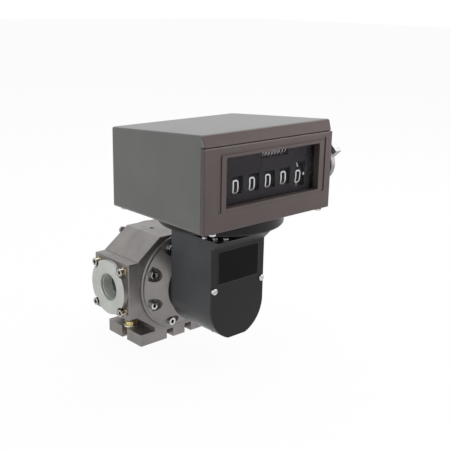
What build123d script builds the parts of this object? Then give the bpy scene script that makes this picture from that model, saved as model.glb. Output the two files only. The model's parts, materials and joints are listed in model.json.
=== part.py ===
from build123d import *
import os
from math import acos, atan2, cos, degrees, pi, radians, sin, sqrt, tan

os.makedirs("parts", exist_ok=True)

# Sizes are in millimetres. X runs along the flow, Y towards the back and Z up.
# The origin is the middle of the underside of the meter's base.

# Fits and clearances
running_gap = 0.05
seat_gap = 0.02
thread_gap = 0.05
screw_hole_gap = 0.4
tooth_play = 0.12
end_gap = 0.3
wheel_side_gap = 0.6
hole_floor = 1.0
cut_margin = 1.0
shaft_overhang = 1.0
shaft_end_room = 1.5
bush_setback = 0.5

# Meter body and base
axis_height = 100.0
body_half_width = 85.5
body_half_depth = 46.5
body_top_rise = 82.5
top_flat_half = 40.0
side_flat_half = 48.5
body_edge = 0.8
base_half_width = 81.0
base_thickness = 20.5
base_corner = 2.5
neck_half_width = 51.5
foot_slot_width = 14.0
notch_start = 12.5
notch_width = 14.0
notch_height = 16.5
notch_depth = 16.0
port_radius = 20.0
vent_x = -17.5
vent_y = 5.0
vent_radius = 3.8
vent_depth = 12.0

# Rotors and their shafts
pitch_radius = 23.0
rolling_radius = pitch_radius / 4
rotor_play = 0.15
chamber_gap = 0.3
points_per_lobe = 9
chamber_radius = pitch_radius + 2 * rolling_radius + chamber_gap
rotor_shaft_radius = 8.0
rotor_bush_radius = 11.0
rotor_bush_length = 8.0
upper_z = axis_height + pitch_radius
lower_z = axis_height - pitch_radius

# Bearing plate, covers and seal rings
plate_thickness = 8.0
plate_radius = 59.5
cover_radius = 82.0
cover_rim = 5.0
cover_round = 2.5
cone_radius = 77.0
cone_front = 29.5
nose_radius = 47.0
cover_screw_circle = 69.0
cover_screw_count = 8
first_cover_screw = 22.5
seat_height = 7.5
seat_radius = 7.4
pocket_radius = 12.0
gear_cavity_radius = 51.0
gear_cavity_depth = 13.0
pinion_cavity_radius = 37.5
pinion_cavity_depth = 22.5
rear_rim = 5.5
rear_dome_radius = 60.0
rear_nose_radius = 44.0
rear_depth = 19.5
lug_circle = 87.0
lug_radius = 6.0
lug_angle = 122.0
lug_step = 1.0
seal_circle = 62.0
seal_section = 0.75
groove_half_width = 0.9
groove_depth = 1.6
flange_seal_circle = 30.0

# Screws
cap_head_radius = 6.5
cap_head_height = 8.0
cap_shank_radius = 4.0
cap_socket_radius = 3.45
cap_socket_depth = 4.0
cap_edge_share = 0.1
cover_screw_grip = 14.0
flange_screw_grip = 13.0
lock_washer_radius = 7.2
lock_washer_thickness = 2.0
foot_bolt_radius = 6.0
foot_hex_flats = 18.0
foot_hex_height = 6.5
foot_hex_crown = 0.5
foot_hex_turn = 12.0
foot_bolt_stand = 4.0
foot_washer_radius = 12.0
foot_washer_thickness = 2.5
foot_bolt_end = 1.0
slot_head_radius = 5.2
slot_head_height = 3.0
slot_head_groove = 1.3
slot_head_groove_depth = 1.3
slot_head_round_share = 0.45
slot_shank_radius = 2.5
plate_screw_length = 13.0
plate_screw_turns = (25, -40)
top_screw_length = 6.0
top_screw_turn = 25.0

# Pipe flanges
flange_half_depth = 46.8
flange_half_height = 48.0
flange_thickness = 19.0
flange_corner = 3.0
hub_radius = 45.7
hub_length = 8.3
scallop_radius = 9.5
flange_screw_half = 35.0
pipe_thread_radius = 22.25
pipe_thread_length = 24.0
pipe_mouth_radius = 24.6
mouth_bevel = 2.3

# Gears in the cover and the housing
pressure_angle = radians(25)
flank_steps = 3
timing_teeth = 40
timing_module = 2 * pitch_radius / timing_teeth
timing_width = 8.0
timing_setback = 2.3
pinion_teeth = 20
pinion_width = 6.0
train_shaft_radius = 5.0
train_bush_radius = 7.0
train_bush_length = 8.0
change_module = 1.5
large_change_teeth = 48
small_change_teeth = 32
change_width = 6.0
change_hub_radius = 8.5
change_hub_length = 3.5
bevel_teeth = 16
bevel_module = 1.25
bevel_pitch_radius = bevel_teeth * bevel_module / 2
bevel_face = 3.5
bevel_hub_radius = 7.5
bevel_hub_length = 5.0
bevel_tip = 0.6
bevel_root = 0.85
change_spacing = change_module * (large_change_teeth + small_change_teeth) / 2
cross_z = axis_height + change_spacing

# Gear housing
housing_half_width = 54.5
housing_wall = 4.0
housing_rear = 93.6
housing_plate_back = 187.0
housing_plate_front = 190.0
housing_flat = 48.5
housing_top = 212.0
housing_plate_top = 199.0
lip_reach = 12.0
lip_edge = 1.0
web_back = 160.0
web_thickness = 6.0
web_top = 190.0
neck_radius = 32.0
neck_screw_circle = 23.0
neck_screw_count = 4
neck_screw_grip = 5.4
neck_screw_radius = 3.0
neck_head_radius = 5.0
neck_head_height = 6.0
neck_socket_radius = 2.7
neck_screw_start = 45.0
output_seal_radius = 11.0
output_seal_length = 5.0
plate_screw_x = 49.8
plate_screw_z = 133.0
plate_boss_radius = 4.6
plate_boss_depth = 15.0
drain_boss_x = -13.0
drain_boss_y = -152.0
drain_boss_radius = 5.5
drain_boss_height = 2.5

# Counter support
tower_y = -147.0
tower_neck_radius = 45.0
disc_radius = 98.0
disc_bottom = 228.5
disc_top = 248.5
disc_round = 4.0
tower_cavity_radius = 36.0
top_screw_circle = 54.0
top_screw_middle = 219.5
top_screw_step = 17.0
top_head_radius = 4.5

# Counter case and front frame
case_left = -125.5
case_right = 131.5
case_back = -32.0
case_back_top = 369.3
case_front = -243.5
case_front_top = 385.5
bevel_front = -251.3
bevel_low = 368.0
case_wall = 3.0
case_rear_taper = 2.5
case_corner = 8.0
case_top_round = 3.0
roof_wall = 3.9
nose_wall = 4.2
frame_front = -252.0
frame_side_reach = 0.6
frame_gap = 0.3
frame_round = 2.0
window_left = -86.3
window_right = 104.0
window_low = 281.0
window_high = 352.0
window_corner = 2.0
collar_wall = 3.0
collar_back = -241.5
channel_left = -102.2
channel_right = 117.5
channel_low = 276.5
channel_high = 360.5
channel_depth = 1.4
bezel_width = 8.6
glass_thickness = 1.8
counter_floor = 3.0
floor_gap = 0.3
foot_screw_left = -107.0
foot_screw_right = 112.0
foot_screw_rear = -56.0
foot_screw_radius = 5.0
foot_screw_head = 3.2
foot_screw_length = 5.0
foot_boss_height = 12.0

# Dial plate
dial_back = -237.0
dial_thickness = 1.0
dial_left = -110.0
dial_right = 100.0
dial_low = 258.0
dial_high = 366.0
slot_width = 21.5
slot_low = 295.0
slot_high = 319.8
units_slot_low = 288.5
units_slot_high = 324.5
total_slot_left = -5.3
total_slot_right = 48.7
total_slot_middle = 345.0
total_slot_height = 9.6

# Number wheels, their pinions and shafts
wheel_count = 5
first_wheel_x = -52.5
wheel_pitch = 32.3
wheel_radius = 38.0
wheel_half_width = 11.0
wheel_y = -196.5
wheel_z = 304.5
wheel_shaft_radius = 5.0
ring_module = 1.25
ring_teeth = 54
ring_width = 4.5
carry_radius = 31.5
transfer_teeth = 13
transfer_shaft_radius = 3.0
transfer_direction = 225.0
drive_teeth = 30
drive_width = 4.2
drive_shaft_radius = 4.0
reset_teeth = 24
reset_gear_width = 5.0
reset_gear_gap = 1.2

# Mechanism frame
frame_plate = 2.5
mech_left = -73.0
mech_right = 98.0
mech_back = -138.0
mech_top = 326.0
mech_floor = 2.0
mech_corner = 14.0
lug_x = -15.0
lug_front = -154.0
lug_back = -140.0
lug_top = 296.0
shaft_passage_radius = 7.0

# Totaliser
total_wheels = 8
total_radius = 12.0
total_wheel_width = 6.2
total_y = -223.5
total_z = 348.0
total_shaft_radius = 2.0
total_plate = 1.5
total_side_gap = 0.5
total_back = -212.0
total_bar_gap = 1.0
total_drop = 7.0

# Reset knob
knob_radius = 28.5
knob_thickness = 10.0
knob_round = 3.0
knob_gap = 0.6
wing_length = 34.0
wing_height = 12.5
wing_angle = 132.0
wing_middle_width = 8.0
wing_end_width = 15.0
reset_rise = 10.0

# Values worked out from the sizes above
front_face = -body_half_depth
rear_face = body_half_depth
bearing_plate_back = front_face + plate_thickness
drive_shaft_end = gear_cavity_depth + body_half_depth
pinion_front = drive_shaft_end + pinion_width + end_gap
cover_nose = body_half_depth + cone_front
seat_front = body_half_depth + seat_height
rotor_shaft_back = rear_face + rotor_bush_length + shaft_end_room
lip_front = housing_plate_front + lip_reach
drive_distance = ring_module * (ring_teeth + drive_teeth) / 2
drive_y = tower_y
drive_z = wheel_z - sqrt(drive_distance**2 - (drive_y - wheel_y) ** 2)
drive_direction = degrees(atan2(wheel_z - drive_z, wheel_y - drive_y))
transfer_distance = ring_module * (ring_teeth + transfer_teeth) / 2
transfer_y = wheel_y + transfer_distance * cos(radians(transfer_direction))
transfer_z = wheel_z + transfer_distance * sin(radians(transfer_direction))
reset_distance = ring_module * reset_teeth
reset_y = wheel_y - sqrt(reset_distance**2 - reset_rise**2)
reset_z = wheel_z + reset_rise
reset_direction = degrees(atan2(reset_z - wheel_z, reset_y - wheel_y))
mech_bottom = disc_top + counter_floor
foot_bolt_x = neck_half_width + foot_washer_radius + foot_bolt_stand
washer_top = base_thickness + foot_washer_thickness
foot_boss_radius = foot_screw_radius + 1.5
rear_screw_left = case_left + case_rear_taper + foot_boss_radius
rear_screw_right = case_right - case_rear_taper - foot_boss_radius
frame_screw_y = (frame_front + case_front) / 2
counter_screw_spots = [
    (foot_screw_left, frame_screw_y),
    (foot_screw_right, frame_screw_y),
    (rear_screw_left, foot_screw_rear),
    (rear_screw_right, foot_screw_rear),
]
change_back = web_back + web_thickness + change_hub_length
change_front = change_back + change_width
wheel_centres = [first_wheel_x + wheel_pitch * step for step in range(wheel_count)]
cover_screw_angles = [
    first_cover_screw + 360 * step / cover_screw_count for step in range(cover_screw_count)
]
flange_screw_spots = [
    (flange_screw_half * across, flange_screw_half * up) for across in (-1, 1) for up in (-1, 1)
]


# Shapes that several pieces share


def involute(angle):
    return tan(angle) - angle


def gear_face(teeth, module, phase, bore, tip=0.9, root=1.2, size=1.0):
    """Outline of a spur gear about its own centre, one tooth centred on the phase angle."""
    pitch = teeth * module / 2
    base = pitch * cos(pressure_angle)
    inner = pitch - root * module
    outer = pitch + tip * module
    half_tooth = pi / (2 * teeth) - tooth_play / (2 * pitch) + involute(pressure_angle)
    start = max(inner, base)
    radii = [start + (outer - start) * step / flank_steps for step in range(flank_steps + 1)]
    flank = [(radius, half_tooth - involute(acos(base / radius))) for radius in radii]
    if inner < base:
        flank.insert(0, (inner, flank[0][1]))
    points = []
    for tooth in range(teeth):
        centre = radians(phase) + 2 * pi * tooth / teeth
        for radius, angle in flank:
            points.append((size * radius * cos(centre - angle), size * radius * sin(centre - angle)))
        for radius, angle in reversed(flank):
            points.append((size * radius * cos(centre + angle), size * radius * sin(centre + angle)))
    with BuildSketch() as face:
        with BuildLine():
            Polyline(*points, close=True)
        make_face()
        Circle(bore, mode=Mode.SUBTRACT)
    return face.sketch


def meshing_phase(direction, phase, teeth, follower_teeth):
    """Phase of a gear that meshes with another one, which lies opposite to the direction."""
    return direction + 180 - (phase - direction) * teeth / follower_teeth + 180 / follower_teeth


def rotor_face(turn):
    """Two-lobed rotor outline of cycloids, one lobe centred on the turn angle."""
    points = []
    for quarter in range(4):
        start = radians(turn - 45 + 90 * quarter)
        outward = quarter % 2 == 0
        for step in range(points_per_lobe):
            roll = pi / 2 * (step + 0.5) / points_per_lobe
            x, y = cycloid_point(roll, outward)
            dx, dy = cycloid_slope(roll, outward)
            length = sqrt(dx**2 + dy**2)
            x -= rotor_play * dy / length
            y += rotor_play * dx / length
            points.append((x * cos(start) - y * sin(start), x * sin(start) + y * cos(start)))
    with BuildSketch() as face:
        with BuildLine():
            Spline(*points, periodic=True)
        make_face()
        Circle(rotor_shaft_radius + seat_gap, mode=Mode.SUBTRACT)
    return face.sketch


def cycloid_point(roll, outward):
    """Point of the curve that a circle draws while it rolls on the pitch circle."""
    side = 1 if outward else -1
    arm = pitch_radius + side * rolling_radius
    spin = arm / rolling_radius * roll
    return (
        arm * cos(roll) - side * rolling_radius * cos(spin),
        arm * sin(roll) - rolling_radius * sin(spin),
    )


def cycloid_slope(roll, outward):
    step = 1e-4
    before = cycloid_point(roll - step, outward)
    after = cycloid_point(roll + step, outward)
    return after[0] - before[0], after[1] - before[1]


def socket_screw(head_radius, head_height, shank_radius, shank_length, socket_radius, socket_depth):
    """Cap screw with its head above the XY plane and its shank below."""
    with BuildPart() as screw:
        with BuildSketch():
            Circle(head_radius)
        extrude(amount=head_height)
        chamfer(screw.edges().sort_by(Axis.Z)[-1], head_radius * cap_edge_share)
        with BuildSketch(Plane.XY.offset(head_height)):
            RegularPolygon(socket_radius, 6)
        extrude(amount=-socket_depth, mode=Mode.SUBTRACT)
        with BuildSketch():
            Circle(shank_radius)
        extrude(amount=-shank_length)
    return screw.part


def slotted_screw(head_radius, head_height, shank_radius, shank_length):
    """Round slotted screw with its head above the XY plane and its shank below."""
    with BuildPart() as screw:
        with BuildSketch():
            Circle(head_radius)
        extrude(amount=head_height)
        fillet(screw.edges().sort_by(Axis.Z)[-1], head_height * slot_head_round_share)
        with BuildSketch(Plane.XY.offset(head_height)):
            Rectangle(3 * head_radius, slot_head_groove)
        extrude(amount=-slot_head_groove_depth, mode=Mode.SUBTRACT)
        with BuildSketch():
            Circle(shank_radius)
        extrude(amount=-shank_length)
    return screw.part


def bevel_gear(place, phase):
    """Bevel gear of 45 degrees: the place is the crossing of the axes, its Z points to the gear."""
    small = bevel_pitch_radius - bevel_face
    shrink = small / bevel_pitch_radius
    bore = train_shaft_radius
    sizes = (bevel_teeth, bevel_module, phase, bore / 2, bevel_tip, bevel_root)
    with BuildPart() as gear:
        with BuildSketch(place.offset(small)):
            add(gear_face(*sizes, shrink))
        with BuildSketch(place.offset(bevel_pitch_radius)):
            add(gear_face(*sizes, 1.0))
        loft(ruled=True)
        with BuildSketch(place.offset(bevel_pitch_radius)):
            Circle(bevel_hub_radius)
        extrude(amount=bevel_hub_length)
    return gear.part


def bored(part, place, radius, length):
    """Copy of a part with a round hole from the place along its Z."""
    with BuildPart() as result:
        add(part)
        with BuildSketch(place):
            Circle(radius)
        extrude(amount=length, mode=Mode.SUBTRACT)
    return result.part


def housing_outline(inset, top):
    """Front outline of the gear housing: straight sides over a round bottom with a flat."""
    radius = housing_half_width - inset
    low = housing_flat + inset
    with BuildSketch() as outline:
        with Locations((0, axis_height)):
            Circle(radius)
        with Locations((0, (axis_height + top) / 2)):
            Rectangle(2 * radius, top - axis_height)
        with Locations((0, low - radius)):
            Rectangle(4 * radius, 2 * radius, mode=Mode.SUBTRACT)
    return outline.sketch


def port_plane(side, distance):
    """Plane across the pipe axis on one side of the body, facing away from the body."""
    return Plane(
        origin=(side * distance, 0, axis_height), x_dir=(0, side, 0), z_dir=(side, 0, 0)
    )


def front_plane(distance):
    """Plane at a distance in front of the body's middle, facing the front."""
    return Plane.XZ.offset(distance)


cover_screw_spots = [
    (
        cover_screw_circle * cos(radians(angle)),
        axis_height + cover_screw_circle * sin(radians(angle)),
    )
    for angle in cover_screw_angles
]


# Meter body

octagon = [
    (side * across, axis_height + up * rise)
    for side, up, across, rise in (
        (-1, -1, top_flat_half, body_top_rise),
        (-1, -1, body_half_width, side_flat_half),
        (-1, 1, body_half_width, side_flat_half),
        (-1, 1, top_flat_half, body_top_rise),
        (1, 1, top_flat_half, body_top_rise),
        (1, 1, body_half_width, side_flat_half),
        (1, -1, body_half_width, side_flat_half),
        (1, -1, top_flat_half, body_top_rise),
    )
]
neck_top = axis_height - side_flat_half

with BuildPart() as meter_body:
    with BuildSketch(front_plane(-body_half_depth)):
        with BuildLine():
            Polyline(*octagon, close=True)
        make_face()
        with Locations((0, neck_top / 2)):
            Rectangle(2 * neck_half_width, neck_top)
    extrude(amount=2 * body_half_depth)
    chamfer(meter_body.faces().sort_by(Axis.Y)[0].edges(), body_edge)
    chamfer(meter_body.faces().sort_by(Axis.Y)[-1].edges(), body_edge)
    with BuildSketch(Plane.XY):
        RectangleRounded(2 * base_half_width, 2 * body_half_depth, base_corner)
    extrude(amount=base_thickness)
    chamfer(meter_body.faces().filter_by(Axis.Z).sort_by(Axis.Z)[0].edges(), body_edge / 2)
    with BuildSketch(Plane.XY):
        for side in (-1, 1):
            with Locations((side * (neck_half_width + base_half_width), 0)):
                Rectangle(2 * base_half_width, foot_slot_width)
    extrude(amount=base_thickness, mode=Mode.SUBTRACT)
    with BuildSketch(Plane.XY):
        for side in (-1, 1):
            for end in (-1, 1):
                with Locations((side * (notch_start + notch_width / 2), end * body_half_depth)):
                    Rectangle(notch_width, 2 * notch_depth)
    extrude(amount=notch_height, mode=Mode.SUBTRACT)
    with BuildSketch(front_plane(-body_half_depth)):
        with Locations((0, upper_z), (0, lower_z)):
            Circle(chamber_radius)
    extrude(amount=2 * body_half_depth, mode=Mode.SUBTRACT)
    with BuildSketch(front_plane(body_half_depth)):
        with Locations((0, axis_height)):
            Circle(plate_radius + seat_gap)
    extrude(amount=-plate_thickness, mode=Mode.SUBTRACT)
    with BuildSketch(port_plane(1, -body_half_width)):
        Circle(port_radius)
    extrude(amount=2 * body_half_width, mode=Mode.SUBTRACT)
    with BuildSketch(front_plane(body_half_depth)):
        with Locations(*cover_screw_spots):
            Circle(cap_shank_radius + thread_gap)
    extrude(amount=-cover_screw_grip - end_gap, mode=Mode.SUBTRACT)
    with BuildSketch(front_plane(-body_half_depth)):
        with Locations(*cover_screw_spots):
            Circle(cap_shank_radius + thread_gap)
    extrude(amount=cover_screw_grip + end_gap, mode=Mode.SUBTRACT)
    for side in (-1, 1):
        with BuildSketch(port_plane(side, body_half_width)):
            with Locations(*flange_screw_spots):
                Circle(cap_shank_radius + thread_gap)
        extrude(amount=-flange_screw_grip - end_gap, mode=Mode.SUBTRACT)
    with BuildSketch(Plane.XY.offset(axis_height + body_top_rise)):
        with Locations((vent_x, vent_y)):
            Circle(vent_radius)
    extrude(amount=-vent_depth, mode=Mode.SUBTRACT)
meter_body.part.label = "meter_body"
export_step(meter_body.part, "parts/meter_body.step")


# Bearing plate between the rotors and the timing gears

with BuildPart() as bearing_plate:
    with BuildSketch(front_plane(-bearing_plate_back)):
        with Locations((0, axis_height)):
            Circle(plate_radius)
        with Locations((0, upper_z), (0, lower_z)):
            Circle(rotor_bush_radius + seat_gap, mode=Mode.SUBTRACT)
    extrude(amount=plate_thickness)
bearing_plate.part.label = "bearing_plate"
export_step(bearing_plate.part, "parts/bearing_plate.step")


# Front cover

cover_axis = Axis((0, 0, axis_height), (0, 1, 0))

with BuildPart() as front_cover:
    with BuildSketch(Plane.YZ):
        with BuildLine():
            Polyline(
                (front_face, axis_height),
                (front_face, axis_height + cover_radius),
                (front_face - cover_rim, axis_height + cover_radius),
                (front_face - cover_rim, axis_height + cone_radius),
                (-cover_nose, axis_height + nose_radius),
                (-cover_nose, axis_height),
                close=True,
            )
        make_face()
    revolve(axis=cover_axis)
    rim_edges = front_cover.edges().filter_by(GeomType.CIRCLE).sort_by(lambda edge: edge.radius)
    fillet(rim_edges[-2:].sort_by(Axis.Y)[0], cover_round)
    with BuildSketch(front_plane(seat_front)):
        with Locations(*cover_screw_spots):
            Circle(pocket_radius)
    extrude(amount=cone_front, mode=Mode.SUBTRACT)
    with BuildSketch(front_plane(body_half_depth)):
        with Locations(*cover_screw_spots):
            Circle(seat_radius)
    extrude(amount=seat_height)
    with BuildSketch(front_plane(body_half_depth)):
        with Locations(*cover_screw_spots):
            Circle(cap_shank_radius + screw_hole_gap)
    extrude(amount=seat_height, mode=Mode.SUBTRACT)
    with BuildSketch(front_plane(body_half_depth)):
        with Locations((0, axis_height)):
            Circle(gear_cavity_radius)
    extrude(amount=gear_cavity_depth, mode=Mode.SUBTRACT)
    with BuildSketch(front_plane(body_half_depth)):
        with Locations((0, axis_height)):
            Circle(pinion_cavity_radius)
    extrude(amount=pinion_cavity_depth, mode=Mode.SUBTRACT)
    with BuildSketch(front_plane(body_half_depth)):
        with Locations((0, axis_height)):
            Circle(train_bush_radius + seat_gap)
    extrude(amount=cone_front, mode=Mode.SUBTRACT)
    with BuildSketch(front_plane(cover_nose)):
        with Locations((0, axis_height)):
            with PolarLocations(neck_screw_circle, neck_screw_count, neck_screw_start):
                Circle(neck_screw_radius + thread_gap)
    extrude(amount=pinion_cavity_depth - cone_front + hole_floor, mode=Mode.SUBTRACT)
    with BuildSketch(front_plane(body_half_depth)):
        with Locations((0, axis_height)):
            Circle(seal_circle + groove_half_width)
            Circle(seal_circle - groove_half_width, mode=Mode.SUBTRACT)
    extrude(amount=groove_depth, mode=Mode.SUBTRACT)
front_cover.part.label = "front_cover"
export_step(front_cover.part, "parts/front_cover.step")


# Rear cover with the blind bush seats

with BuildPart() as rear_cover:
    with BuildSketch(Plane.YZ):
        with BuildLine():
            Polyline(
                (rear_face, axis_height),
                (rear_face, axis_height + cover_radius),
                (rear_face + rear_rim, axis_height + cover_radius),
                (rear_face + rear_rim, axis_height + rear_dome_radius),
                (rear_face + rear_depth, axis_height + rear_nose_radius),
                (rear_face + rear_depth, axis_height),
                close=True,
            )
        make_face()
    revolve(axis=cover_axis)
    rim_edges = rear_cover.edges().filter_by(GeomType.CIRCLE).sort_by(lambda edge: edge.radius)
    fillet(rim_edges[-2:].sort_by(Axis.Y)[-1], cover_round)
    with BuildSketch(front_plane(-rear_face - rear_rim)):
        with Locations((0, axis_height)):
            with PolarLocations(lug_circle, 2, lug_angle):
                Circle(lug_radius)
    extrude(amount=rear_rim - lug_step)
    with BuildSketch(front_plane(-rear_face)):
        with Locations(*cover_screw_spots):
            Circle(cap_shank_radius + screw_hole_gap)
    extrude(amount=-rear_rim, mode=Mode.SUBTRACT)
    with BuildSketch(front_plane(-rear_face)):
        with Locations((0, upper_z), (0, lower_z)):
            Circle(rotor_bush_radius + seat_gap)
    extrude(amount=rear_face - rotor_shaft_back - end_gap, mode=Mode.SUBTRACT)
    with BuildSketch(front_plane(-rear_face)):
        with Locations((0, axis_height)):
            Circle(seal_circle + groove_half_width)
            Circle(seal_circle - groove_half_width, mode=Mode.SUBTRACT)
    extrude(amount=-groove_depth, mode=Mode.SUBTRACT)
rear_cover.part.label = "rear_cover"
export_step(rear_cover.part, "parts/rear_cover.step")


# Seal rings of the covers and the flanges

with BuildPart() as seal_rings:
    for place in (
        Location((0, front_face - groove_depth / 2, axis_height), (90, 0, 0)),
        Location((0, rear_face + groove_depth / 2, axis_height), (90, 0, 0)),
    ):
        with Locations(place):
            Torus(seal_circle, seal_section)
    for side in (-1, 1):
        seal_x = side * (body_half_width + groove_depth / 2)
        with Locations(Location((seal_x, 0, axis_height), (0, 90, 0))):
            Torus(flange_seal_circle, seal_section)
seal_rings.part.label = "seal_rings"
export_step(seal_rings.part, "parts/seal_rings.step")


# Cover screws

cover_screw_length = seat_height + cover_screw_grip
cap_screw = socket_screw(
    cap_head_radius,
    cap_head_height,
    cap_shank_radius,
    cover_screw_length,
    cap_socket_radius,
    cap_socket_depth,
)
rear_cap_screw = socket_screw(
    cap_head_radius,
    cap_head_height,
    cap_shank_radius,
    rear_rim + cover_screw_grip,
    cap_socket_radius,
    cap_socket_depth,
)

with BuildPart() as cover_screws:
    for x, z in cover_screw_spots:
        with Locations(Location((x, -seat_front, z), (90, 0, 0))):
            add(cap_screw)
        with Locations(Location((x, rear_face + rear_rim, z), (-90, 0, 0))):
            add(rear_cap_screw)
cover_screws.part.label = "cover_screws"
export_step(cover_screws.part, "parts/cover_screws.step")


# Pipe flanges with their screws and lock washers


def pipe_flange(side):
    hub_start = body_half_width + flange_thickness
    hub_end = hub_start + hub_length
    with BuildPart() as flange:
        with BuildSketch(port_plane(side, body_half_width)):
            RectangleRounded(2 * flange_half_depth, 2 * flange_half_height, flange_corner)
        extrude(amount=flange_thickness)
        chamfer(flange.faces().sort_by(Axis.X)[0 if side < 0 else -1].edges(), body_edge)
        with BuildSketch(port_plane(side, hub_start)):
            Circle(hub_radius)
            with Locations(*flange_screw_spots):
                Circle(scallop_radius, mode=Mode.SUBTRACT)
        extrude(amount=hub_length)
        with BuildSketch(port_plane(side, body_half_width)):
            Circle(port_radius)
        extrude(amount=flange_thickness + hub_length, mode=Mode.SUBTRACT)
        with BuildSketch(port_plane(side, hub_end)):
            Circle(pipe_thread_radius)
        extrude(amount=-pipe_thread_length, mode=Mode.SUBTRACT)
        with BuildSketch(port_plane(side, hub_end)):
            Circle(pipe_mouth_radius)
        extrude(amount=-mouth_bevel, taper=45, mode=Mode.SUBTRACT)
        with BuildSketch(port_plane(side, body_half_width)):
            with Locations(*flange_screw_spots):
                Circle(cap_shank_radius + screw_hole_gap)
        extrude(amount=flange_thickness, mode=Mode.SUBTRACT)
        with BuildSketch(port_plane(side, body_half_width)):
            Circle(flange_seal_circle + groove_half_width)
            Circle(flange_seal_circle - groove_half_width, mode=Mode.SUBTRACT)
        extrude(amount=groove_depth, mode=Mode.SUBTRACT)
    return flange


inlet_flange = pipe_flange(-1)
inlet_flange.part.label = "inlet_flange"
export_step(inlet_flange.part, "parts/inlet_flange.step")

outlet_flange = pipe_flange(1)
outlet_flange.part.label = "outlet_flange"
export_step(outlet_flange.part, "parts/outlet_flange.step")

flange_washer_x = body_half_width + flange_thickness
flange_head_x = flange_washer_x + lock_washer_thickness
flange_screw = socket_screw(
    cap_head_radius,
    cap_head_height,
    cap_shank_radius,
    flange_head_x - body_half_width + flange_screw_grip,
    cap_socket_radius,
    cap_socket_depth,
)

with BuildPart() as flange_screws:
    for side in (-1, 1):
        for y, z in flange_screw_spots:
            with Locations(Location((side * flange_head_x, y, axis_height + z), (0, side * 90, 0))):
                add(flange_screw)
flange_screws.part.label = "flange_screws"
export_step(flange_screws.part, "parts/flange_screws.step")

with BuildPart() as flange_lock_washers:
    for side in (-1, 1):
        with BuildSketch(port_plane(side, flange_washer_x)):
            with Locations(*flange_screw_spots):
                Circle(lock_washer_radius)
                Circle(cap_shank_radius + screw_hole_gap / 2, mode=Mode.SUBTRACT)
        extrude(amount=lock_washer_thickness)
flange_lock_washers.part.label = "flange_lock_washers"
export_step(flange_lock_washers.part, "parts/flange_lock_washers.step")


# Foot bolts and washers

foot_hex_radius = foot_hex_flats / sqrt(3)

with BuildPart() as foot_bolts:
    with BuildSketch(Plane.XY.offset(washer_top)):
        for side in (-1, 1):
            with Locations((side * foot_bolt_x, 0)):
                RegularPolygon(foot_hex_radius, 6, rotation=foot_hex_turn)
    extrude(amount=foot_hex_height)
    with BuildSketch(Plane.XY.offset(washer_top + foot_hex_height)):
        for side in (-1, 1):
            with Locations((side * foot_bolt_x, 0)):
                Circle(foot_hex_flats / 2)
    extrude(amount=foot_hex_crown)
    with BuildSketch(Plane.XY.offset(foot_bolt_end)):
        for side in (-1, 1):
            with Locations((side * foot_bolt_x, 0)):
                Circle(foot_bolt_radius)
    extrude(amount=washer_top - foot_bolt_end)
foot_bolts.part.label = "foot_bolts"
export_step(foot_bolts.part, "parts/foot_bolts.step")

with BuildPart() as foot_washers:
    with BuildSketch(Plane.XY.offset(base_thickness)):
        for side in (-1, 1):
            with Locations((side * foot_bolt_x, 0)):
                Circle(foot_washer_radius)
                Circle(foot_bolt_radius + screw_hole_gap, mode=Mode.SUBTRACT)
    extrude(amount=foot_washer_thickness)
foot_washers.part.label = "foot_washers"
export_step(foot_washers.part, "parts/foot_washers.step")


# Rotor bushes: two in the rear cover and two in the bearing plate

with BuildPart() as rotor_bushes:
    for back in (-rear_face - rotor_bush_length - end_gap, -bearing_plate_back):
        with BuildSketch(front_plane(back)):
            with Locations((0, upper_z), (0, lower_z)):
                Circle(rotor_bush_radius)
                Circle(rotor_shaft_radius + running_gap, mode=Mode.SUBTRACT)
        extrude(amount=rotor_bush_length)
rotor_bushes.part.label = "rotor_bushes"
export_step(rotor_bushes.part, "parts/rotor_bushes.step")


# Rotors, rotor shafts and timing gears

rotor_back = -rear_face + end_gap
rotor_length = rear_face - bearing_plate_back - 2 * end_gap
timing_back = body_half_depth + timing_setback
lower_timing_phase = meshing_phase(-90, 0, timing_teeth, timing_teeth)
output_pinion_phase = meshing_phase(-90, 0, pinion_teeth, pinion_teeth)

with BuildPart() as drive_rotor:
    with BuildSketch(front_plane(rotor_back)):
        with Locations((0, upper_z)):
            add(rotor_face(90))
    extrude(amount=rotor_length)
drive_rotor.part.label = "drive_rotor"
export_step(drive_rotor.part, "parts/drive_rotor.step")

with BuildPart() as idle_rotor:
    with BuildSketch(front_plane(rotor_back)):
        with Locations((0, lower_z)):
            add(rotor_face(0))
    extrude(amount=rotor_length)
idle_rotor.part.label = "idle_rotor"
export_step(idle_rotor.part, "parts/idle_rotor.step")

with BuildPart() as drive_rotor_shaft:
    with BuildSketch(front_plane(-rotor_shaft_back)):
        with Locations((0, upper_z)):
            Circle(rotor_shaft_radius)
    extrude(amount=rotor_shaft_back + pinion_front)
    with BuildSketch(front_plane(pinion_front - pinion_width)):
        with Locations((0, upper_z)):
            add(gear_face(pinion_teeth, timing_module, 0, rotor_shaft_radius / 2))
    extrude(amount=pinion_width)
drive_rotor_shaft.part.label = "drive_rotor_shaft"
export_step(drive_rotor_shaft.part, "parts/drive_rotor_shaft.step")

with BuildPart() as idle_rotor_shaft:
    with BuildSketch(front_plane(-rotor_shaft_back)):
        with Locations((0, lower_z)):
            Circle(rotor_shaft_radius)
    extrude(amount=rotor_shaft_back + timing_back + timing_width + shaft_overhang)
idle_rotor_shaft.part.label = "idle_rotor_shaft"
export_step(idle_rotor_shaft.part, "parts/idle_rotor_shaft.step")

with BuildPart() as drive_timing_gear:
    with BuildSketch(front_plane(timing_back)):
        with Locations((0, upper_z)):
            add(gear_face(timing_teeth, timing_module, 0, rotor_shaft_radius + seat_gap))
    extrude(amount=timing_width)
drive_timing_gear.part.label = "drive_timing_gear"
export_step(drive_timing_gear.part, "parts/drive_timing_gear.step")

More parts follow.
